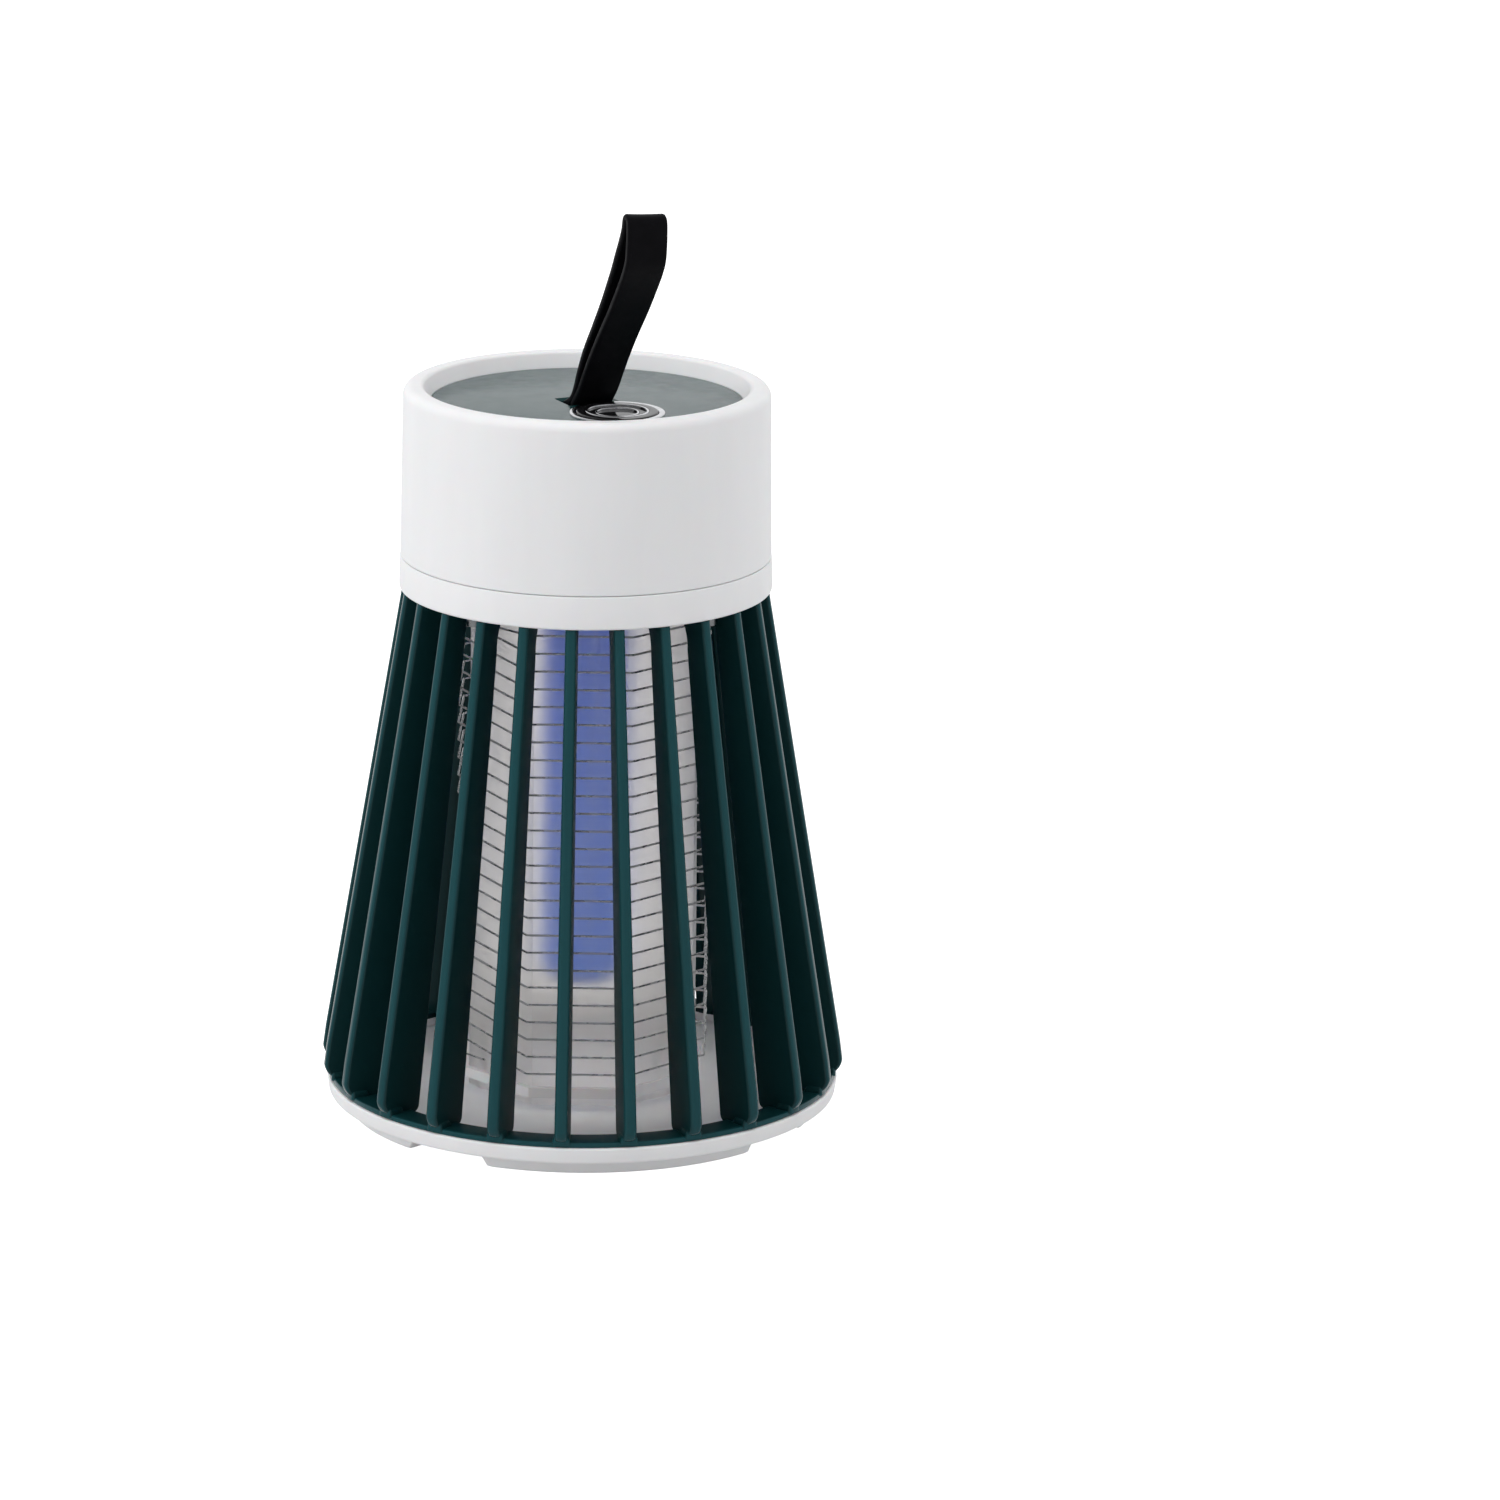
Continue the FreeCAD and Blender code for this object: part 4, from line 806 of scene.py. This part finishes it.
def make_panel():
    low, top = PANEL_LOW.z, PANEL_HIGH.z
    radius = PANEL_HIGH.x
    disc = lathe(rounded([(0, low), (radius, low, 0.2), (radius, top, 0.35), (0, top)]))
    half_x, half_y, bevel = 5.2, 3.3, 0.6
    mouth = []
    for height, grow in ((low - 1, 0.0), (top - bevel, 0.0), (top - 0.12, bevel * 0.85),
                         (top, bevel), (top + 0.5, bevel + 0.3)):
        wide, deep = half_x + grow, half_y + grow
        mouth.append([(x, PIN.y + y, height) for x, y in rounded([
            (-wide, -deep, 0.5), (wide, -deep, 0.5), (wide, deep, 0.5), (-wide, deep, 0.5)])])
    west, east = PIN_LOW.x - 0.2, PIN_HIGH.x + 0.2
    south, north = PIN.y - PIN_SEAT, PIN.y + PIN_SEAT
    groove = prism([(west, south), (east, south), (east, north), (west, north)],
                   low - 1, PIN.z + PIN_SEAT)
    panel = cut(disc, loft(mouth), post((0, BUTTON_Y), 9.4, low - 1, top + 1, 160), groove)
    publish(panel, "green_panel", "top_panel")


def make_button():
    centre = (0.0, BUTTON_Y)
    low, top = BEZEL_LOW.z, BEZEL_HIGH.z
    outer = BEZEL_HIGH.x
    publish(lathe(rounded([
        (8.7, low, 0.15), (9.3, low, 0.15), (9.3, PANEL_HIGH.z), (outer, PANEL_HIGH.z, 0.05),
        (outer, top, 0.3), (8.7, top, 0.3),
    ], steps=6), 192, centre), "button_surround", "button_bezel")
    low, top = BUTTON_LOW.z, BUTTON_HIGH.z
    flange_low, flange_top = low, low + 1.0
    publish(lathe(rounded([
        (0, 150.25), (2.4, 150.25, 0.3), (2.4, top - 1.5, 0.3), (7.6, top - 1.5, 0.3),
        (7.6, flange_low, 0.1), (9.2, flange_low, 0.1), (9.2, flange_top, 0.1),
        (8.6, flange_top, 0.1), (8.6, top, 0.28), (6.68, top, 0.1), (6.68, top - 0.92),
        (6.12, top - 0.92), (6.12, top - 0.3, 0.1), (4.63, top - 0.3, 0.1), (4.63, top - 1.02),
        (4.12, top - 1.02), (4.12, top - 0.6, 0.1), (0, top - 0.75),
    ], steps=5), 192, centre), "push_button", "power_button")
    top = RINGS_HIGH.z
    rings = []
    for inner, wide, low, high in ((6.15, 0.5, top - 1.0, top),
                                   (4.15, 0.45, top - 1.1, top - 0.3)):
        rings.append(lathe(rounded([
            (inner, low, 0.05), (inner + wide, low, 0.05), (inner + wide, high, 0.16),
            (inner, high, 0.16)]), 192, centre))
    publish(merged(rings), "button_rings", "button_trim_rings")


def curve_through(points, count):
    """Evenly spread points on a smooth curve through the given ones."""
    dense = []
    for index in range(len(points) - 1):
        before = points[max(index - 1, 0)]
        start, end = points[index], points[index + 1]
        after = points[min(index + 2, len(points) - 1)]
        for step in range(24):
            share = step / 24
            dense.append(0.5 * (2 * start + (end - before) * share
                                + (2 * before - 5 * start + 4 * end - after) * share ** 2
                                + (3 * start - before - 3 * end + after) * share ** 3))
    dense.append(points[-1])
    lengths = [0.0]
    for near, far in zip(dense, dense[1:]):
        lengths.append(lengths[-1] + (far - near).length)
    even = []
    index = 0
    for step in range(count):
        want = lengths[-1] * step / (count - 1)
        while index < len(lengths) - 2 and lengths[index + 1] < want:
            index += 1
        part = (want - lengths[index]) / max(lengths[index + 1] - lengths[index], 1e-9)
        even.append(dense[index].lerp(dense[index + 1], part))
    return even


def make_strap():
    """Silicone band: up from the pin, folded over at its top and back down to the pin."""
    thick = 1.5
    half = STRAP_HIGH.x
    lean = math.radians(46)
    rise = Vector((-math.sin(lean), math.cos(lean)))
    out = Vector((-math.cos(lean), -math.sin(lean)))
    pin = Vector((PIN.y, PIN.z))
    wrap_r = PIN_SEAT + thick / 2
    turns = [math.radians(turn) for turn in range(-75, 91, 15)]
    wrap = [pin + wrap_r * (math.cos(turn) * -rise + math.sin(turn) * out) for turn in turns]
    front = [(-1.9, 153.9), (-3.0, 155.3), (-4.45, 156.9), (-6.0, 159.0), (-10.0, 165.0),
             (-14.5, 170.95), (-19.5, 177.05), (-23.9, 183.0), (-25.85, 185.85), (-27.25, 188.6),
             (-27.75, 191.5), (-27.9, 194.2), (-27.85, 196.6)]
    fold = [(-27.6, 197.5), (-26.9, 197.95), (-26.15, 197.6), (-25.85, 196.8)]
    back = [(-25.4, 194.9), (-23.95, 191.9), (-22.45, 189.2), (-21.0, 186.4), (-19.45, 183.8),
            (-15.95, 178.2), (-11.95, 172.5), (-7.85, 166.8), (-4.75, 161.2), (-3.5, 158.4),
            (-2.2, 156.1), (-0.7, 154.7)]
    spots = wrap + [Vector(spot) for spot in front + fold + back]
    stations = 260
    path = curve_through(spots + [wrap[0]], stations + 1)[:-1]
    edge = 0.5
    section = rounded([(-half, -thick / 2, edge), (half, -thick / 2, edge),
                       (half, thick / 2, edge), (-half, thick / 2, edge)], steps=6)
    level_to, level_over = 163.0, 35.0
    roll_top, sway, cup_depth = math.radians(4.0), 0.03, 0.10
    flat = []
    for index, near in enumerate(section):
        far = section[(index + 1) % len(section)]
        flat.append(near)
        if (far - near).length > half:
            flat += [near.lerp(far, step / 12) for step in range(1, 12)]
    rings = []
    for index, spot in enumerate(path):
        along = (path[(index + 1) % stations] - path[index - 1]).normalized()
        side = Vector((along.y, -along.x))
        height = max(0.0, (spot.y - level_to) / level_over)
        roll = roll_top * height ** 1.5
        ring = []
        for across, through in flat:
            cup = cup_depth * height * (1 - (across / half) ** 2)
            place = spot + side * (through + cup)
            ring.append((across * math.cos(roll), place.x + sway * across * height,
                         place.y - across * math.sin(roll)))
        rings.append(ring)
    bm = bmesh.new()
    rows = [[bm.verts.new(point) for point in ring] for ring in rings]
    add_faces(bm, rows, closed_stack=True)
    publish(tidy(bm), "strap_loop", "carry_strap")


# ------------------------------------------------------------------- grid

GRID_TURN = math.radians(-5)
SIDES = 8
FACET = TAU / SIDES
WIRE_LEVELS = 26
WIRE_PITCH = 3.83
WIRE_TOP = 109.6
WIRE_CORNER = 28.5
WIRE_FACE = WIRE_CORNER * math.cos(FACET / 2)
WIRE_RADIUS = 0.25
GRID_SCREWS = 20.0


def make_grid_frame():
    tooth, notch, back = 31.3, 27.2, 26.2
    notch_share, bevel = 0.46, 0.18
    flange_low = 113.2
    low = GRID_LOW.z
    comb = [(back, low), (tooth, low)]
    for level in reversed(range(WIRE_LEVELS)):
        middle = WIRE_TOP - level * WIRE_PITCH
        for step in range(-6, 7):
            share = step / 6
            comb.append((notch + (tooth - notch) * math.sin(abs(share) * TAU / 4) ** 1.1,
                         middle + share * WIRE_PITCH * notch_share))
    comb += [(tooth, flange_low + 0.5), (back, flange_low + 0.5)]
    half = 0.7

    def comb_post():
        bm = bmesh.new()
        for along, shrink in ((-half, bevel), (-half + bevel, 0.0), (half - bevel, 0.0),
                              (half, bevel)):
            for across, up in comb:
                bm.verts.new((max(across - shrink, back), along, up))
        bm.verts.ensure_lookup_table()
        count = len(comb)
        rows = [bm.verts[row * count:(row + 1) * count] for row in range(4)]
        add_faces(bm, rows)
        bm.faces.new(rows[0])
        bm.faces.new(rows[-1])
        return bm

    flange = prism(ring_spots(tooth, 0, SIDES), flange_low, GRID_HIGH.z)
    flange = cut(flange, post((0, 0), 13.4, flange_low - 1, GRID_HIGH.z + 1, 96))
    band = cut(prism(ring_spots(27.4, 0, SIDES), low, low + 2.2),
               prism(ring_spots(26.0, 0, SIDES), low - 1, low + 3))
    grid = union(merged([flange, band]), repeated(comb_post, SIDES))
    holes = [post(spot, hole_r, flange_low - 1, GRID_HIGH.z + 1)
             for reach, turn, hole_r in ((GRID_SCREWS, 0.0, 1.2), (WIRE_FACE, 22.5, 0.8))
             for spot in ring_spots(reach, turn, 2)]
    grid = cut(grid, merged(holes))
    bmesh.ops.transform(grid, matrix=Matrix.Rotation(GRID_TURN, 4, "Z"), verts=grid.verts)
    publish(grid, "comb_frame", "grid_frame", sharp=30)


def tube(points, radius, sides=8):
    """A round wire along a run of points."""
    rings = []
    up = Vector((0, 0, 1))
    count = len(points)
    for index, spot in enumerate(points):
        along = (points[min(index + 1, count - 1)] - points[max(index - 1, 0)]).normalized()
        side = along.cross(up)
        if side.length < 1e-3:
            side = along.cross(Vector((1, 0, 0)))
        side.normalize()
        top = side.cross(along)
        rings.append([spot + radius * (math.cos(TAU * step / sides) * side
                                       + math.sin(TAU * step / sides) * top)
                      for step in range(sides)])
    return loft(rings)


def make_wires():
    sag_most, bow_most, corner_ease = 0.22, 0.10, 0.06

    def spot(distance, angle, height):
        return Vector((distance * math.cos(angle), distance * math.sin(angle), height))

    for name, node, turn in (("wire_winding_live", "grid_wire_live", 0.0),
                             ("wire_winding_return", "grid_wire_return", math.pi)):
        first = GRID_TURN - 3 * FACET + turn
        corners = []
        for step in range(WIRE_LEVELS * 4):
            height = WIRE_TOP - (step // 4) * WIRE_PITCH
            corners.append(spot(WIRE_CORNER, first + step * FACET, height))
        end = spot(WIRE_FACE, first + (len(corners) - 0.5) * FACET, corners[-1].z)
        path = [spot(WIRE_FACE, first - FACET / 2, GRID_LOW.z + 104.6),
                spot(WIRE_FACE, first - FACET / 2, WIRE_TOP + 0.6),
                spot(WIRE_FACE, first - FACET / 2, WIRE_TOP).lerp(corners[0], 0.05)]
        runs = corners + [end]
        for index, (near, far) in enumerate(zip(runs, runs[1:])):
            sag = sag_most * noise.noise(Vector((index * 0.37, turn, 2.0)))
            bow = bow_most * noise.noise(Vector((index * 0.53, turn, 7.0)))
            outward = Vector((near.x + far.x, near.y + far.y, 0)).normalized()
            whole = index < len(runs) - 2
            shares = [0.0, 0.02, 0.05, 0.2, 0.35, 0.5, 0.65, 0.8, 0.95, 0.98]
            for share in shares if whole else shares[:8]:
                curve = 4 * share * (1 - share)
                place = near.lerp(far, share)
                ease = corner_ease * max(0.0, 1 - min(share, 1 - share) / 0.04)
                path.append(place + outward * (bow * curve - ease)
                            + Vector((0, 0, sag * curve)))
        publish(tube(path, WIRE_RADIUS), name, node, sharp=60)


def make_sleeve():
    """Frosted film pulled round the posts: slack between them, crumpled at its hem."""
    corner_r = 25.8
    thick = 0.22
    low, high = SLEEVE_LOW.z, SLEEVE_HIGH.z
    per_side, rows = 22, 110
    slack_most, pleat_most, crumple_most, lift_most = 0.55, 0.10, 1.0, 0.5
    corners = [Vector((*spot, 0)) for spot in ring_spots(corner_r, 0, SIDES)]
    rings = []
    for row in range(rows + 1):
        up = row / rows
        height = low + (high - low) * up
        ring = []
        for side in range(SIDES):
            near, far = corners[side], corners[(side + 1) % SIDES]
            outward = (near + far).normalized()
            for step in range(per_side):
                share = step / per_side
                slack = math.sin(math.pi * share)
                place = near.lerp(far, share)
                seed = Vector((side * 3.1 + share * 1.6, height * 0.016, 1.0))
                drift = slack_most * slack * noise.noise(seed)
                pleat = pleat_most * slack * noise.noise(Vector((
                    side * 5 + share * 9, height * 0.02, 4)))
                hem = max(0.0, 1 - up * 5.0) ** 1.5
                fold = noise.noise(Vector((side * 2.3 + share * 3.2 + height * 0.05,
                                           height * 0.11, 9.0)))
                crumple = crumple_most * hem * slack * (1 - 2.4 * abs(fold))
                lift = hem * lift_most * noise.noise(Vector((side * 1.7 + share * 2.0, 0, 5.0)))
                bend = outward * (drift + pleat + crumple)
                ring.append(place + bend + Vector((0, 0, height + lift * (1 - up))))
        rings.append(ring)
    inner = [[Vector((spot.x, spot.y, 0)) * (1 - thick / corner_r) + Vector((0, 0, spot.z))
              for spot in ring] for ring in rings]
    bm = bmesh.new()
    outer_rows = [[bm.verts.new(point) for point in ring] for ring in rings]
    inner_rows = [[bm.verts.new(point) for point in ring] for ring in reversed(inner)]
    add_faces(bm, outer_rows + inner_rows, closed_stack=True)
    bmesh.ops.transform(bm, matrix=Matrix.Rotation(GRID_TURN, 4, "Z"), verts=bm.verts)
    publish(tidy(bm), "diffuser_film", "diffuser_sleeve", sharp=25)


def make_light_guide():
    radius = 9.4
    wall = 1.6
    flange_low = 115.4
    low, top = GUIDE_LOW.z, GUIDE_HIGH.z
    publish(lathe(rounded([
        (0, low), (radius, low, 5.0), (radius, flange_low, 0.3), (GUIDE_HIGH.x, flange_low, 0.2),
        (GUIDE_HIGH.x, top, 0.2), (radius - wall, top, 0.2), (radius - wall, low + 3.0, 3.0),
        (0, low + wall),
    ], steps=12), 128), "light_pipe", "light_guide")


# -------------------------------------------------------------- CAD nodes

def dress_remaining_nodes():
    """Give every CAD node that still shows its procedural finish."""
    for name, node in frame["nodes"].items():
        if node.hide_render:
            continue
        node.data.materials.clear()
        node.data.materials.append(finish(slot_of(name)))
        node.data.shade_smooth()
        node.data.set_sharp_from_angle(angle=math.radians(35))


# ------------------------------------------------------------------ stage

def away(azimuth, elevation):
    """Direction from the lamp's middle; azimuth 0 is straight in front, in degrees."""
    turn, lift = math.radians(azimuth), math.radians(elevation)
    return Vector((math.sin(turn) * math.cos(lift), -math.cos(turn) * math.cos(lift),
                   math.sin(lift)))


def softbox(name, azimuth, elevation, reach, wide, tall, glow):
    """Area light aimed at the lamp's middle; glow is its radiance."""
    back = away(azimuth, elevation)
    data = bpy.data.lights.new(name, "AREA")
    data.shape = "RECTANGLE"
    data.size = wide
    data.size_y = tall
    data.energy = glow * math.pi * wide * tall
    light = placed(name, data)
    light.location = TARGET + back * reach
    light.rotation_mode = "QUATERNION"
    light.rotation_quaternion = (-back).to_track_quat("-Z", "Y")
    light.visible_glossy = False
    light.visible_camera = False


CAMERA_AZIMUTH = -25.5
CAMERA_ELEVATION = 14.87
CAMERA_REACH = 1.472
CAMERA_LENS = 166.0
TARGET = Vector((0, 0, 0.0861))
AIM_RIGHT = 0.0352
AIM_DOWN = 0.00755
CAMERA_ROLL = 0.8


def make_camera():
    turn = math.radians(CAMERA_AZIMUTH)
    back = away(CAMERA_AZIMUTH, CAMERA_ELEVATION)
    right = Vector((math.cos(turn), math.sin(turn), 0))
    up = back.cross(right)
    data = bpy.data.cameras.new("camera")
    data.lens = CAMERA_LENS
    data.sensor_width = 36
    data.clip_end = 50
    camera = placed("camera", data)
    camera.location = TARGET + back * CAMERA_REACH
    aim = TARGET + right * AIM_RIGHT - up * AIM_DOWN
    camera.rotation_mode = "QUATERNION"
    level = (aim - camera.location).to_track_quat("-Z", "Y").to_matrix()
    lean = Matrix.Rotation(math.radians(CAMERA_ROLL), 3, "Z")
    camera.rotation_quaternion = (level @ lean).to_quaternion()
    bpy.context.scene.camera = camera


PAPER_SEEN = 1.0
PAPER_BOUNCE = 0.13
ROOM_GLOW = 0.31
ROOM_GLOW_BEHIND = 0.90


def make_stage():
    """A round pale floor that rises into a soft backdrop all round."""
    flat_r, rise_r, height, spokes = 1.8, 1.2, 3.2, 96
    profile = [(0.25, 0.0), (0.8, 0.0), (flat_r, 0.0)]
    for step in range(1, 13):
        angle = math.radians(90 * step / 12)
        profile.append((flat_r + rise_r * math.sin(angle), rise_r * (1 - math.cos(angle))))
    profile.append((flat_r + rise_r, height))
    bm = bmesh.new()
    centre = bm.verts.new((0, 0, 0))
    rings = []
    for radius, up in profile:
        rings.append([bm.verts.new((radius * math.cos(TAU * step / spokes),
                                    radius * math.sin(TAU * step / spokes), up))
                      for step in range(spokes)])
    for step in range(spokes):
        bm.faces.new((centre, rings[0][step], rings[0][(step + 1) % spokes]))
    add_faces(bm, rings)
    bmesh.ops.recalc_face_normals(bm, faces=bm.faces)
    mesh = bpy.data.meshes.new("studio_sweep")
    bm.to_mesh(mesh)
    bm.free()
    mesh.shade_smooth()
    sweep = placed("studio_sweep", mesh)
    look = Finish("studio_paper")
    path = look.add("ShaderNodeLightPath").outputs
    either = look.add("ShaderNodeMath", operation="MAXIMUM")
    look.join(path["Is Camera Ray"], either.inputs[0])
    look.join(path["Is Transmission Ray"], either.inputs[1])
    straight = either.outputs[0]
    look.set(Base_Color=look.blend(look.between(look.clouds(120.0, 2.0), 0, 1),
                                   (0.60, 0.60, 0.605), (0.62, 0.62, 0.62)),
             Roughness=0.8, Specular_IOR_Level=0.1, Emission_Color=(1.0, 1.0, 1.0),
             Emission_Strength=look.between(straight, PAPER_BOUNCE, PAPER_SEEN, 0.0, 1.0))
    mesh.materials.append(look.material)
    sweep.visible_glossy = False


def make_surroundings():
    """A pale room that lights the lamp and is mirrored in it, brighter behind it."""
    world = bpy.data.worlds.new("studio")
    world.use_nodes = True
    tree = world.node_tree
    behind = math.radians(CAMERA_AZIMUTH + 180)
    dot = tree.nodes.new("ShaderNodeVectorMath")
    dot.operation = "DOT_PRODUCT"
    dot.inputs[1].default_value = (math.sin(behind), -math.cos(behind), 0.09)
    tree.links.new(tree.nodes.new("ShaderNodeTexCoord").outputs["Generated"], dot.inputs[0])
    ramp = tree.nodes.new("ShaderNodeMapRange")
    ramp.interpolation_type = "SMOOTHSTEP"
    for name, value in (("From Min", 0.10), ("From Max", 0.75), ("To Min", ROOM_GLOW),
                        ("To Max", ROOM_GLOW_BEHIND)):
        ramp.inputs[name].default_value = value
    tree.links.new(dot.outputs["Value"], ramp.inputs["Value"])
    background = tree.nodes["Background"]
    background.inputs["Color"].default_value = (0.98, 0.99, 1.0, 1)
    tree.links.new(ramp.outputs["Result"], background.inputs["Strength"])
    bpy.context.scene.world = world


def make_lights():
    for name, aside, elevation, reach, wide, tall, glow in (
            ("key_left", -68, 22, 1.3, 0.9, 1.3, 2.47),
            ("fill_right", 74, 18, 1.4, 0.8, 1.2, 1.73),
            ("top", 0, 86, 1.5, 1.4, 1.4, 1.74)):
        softbox(name, CAMERA_AZIMUTH + aside, elevation, reach, wide, tall, glow)
    bpy.context.scene.view_settings.view_transform = "Standard"


for build in (make_tray, make_cage, make_collar, make_housing, make_panel, make_button,
              make_strap, make_grid_frame, make_wires, make_sleeve, make_light_guide,
              dress_remaining_nodes, make_stage, make_camera, make_surroundings, make_lights):
    build()
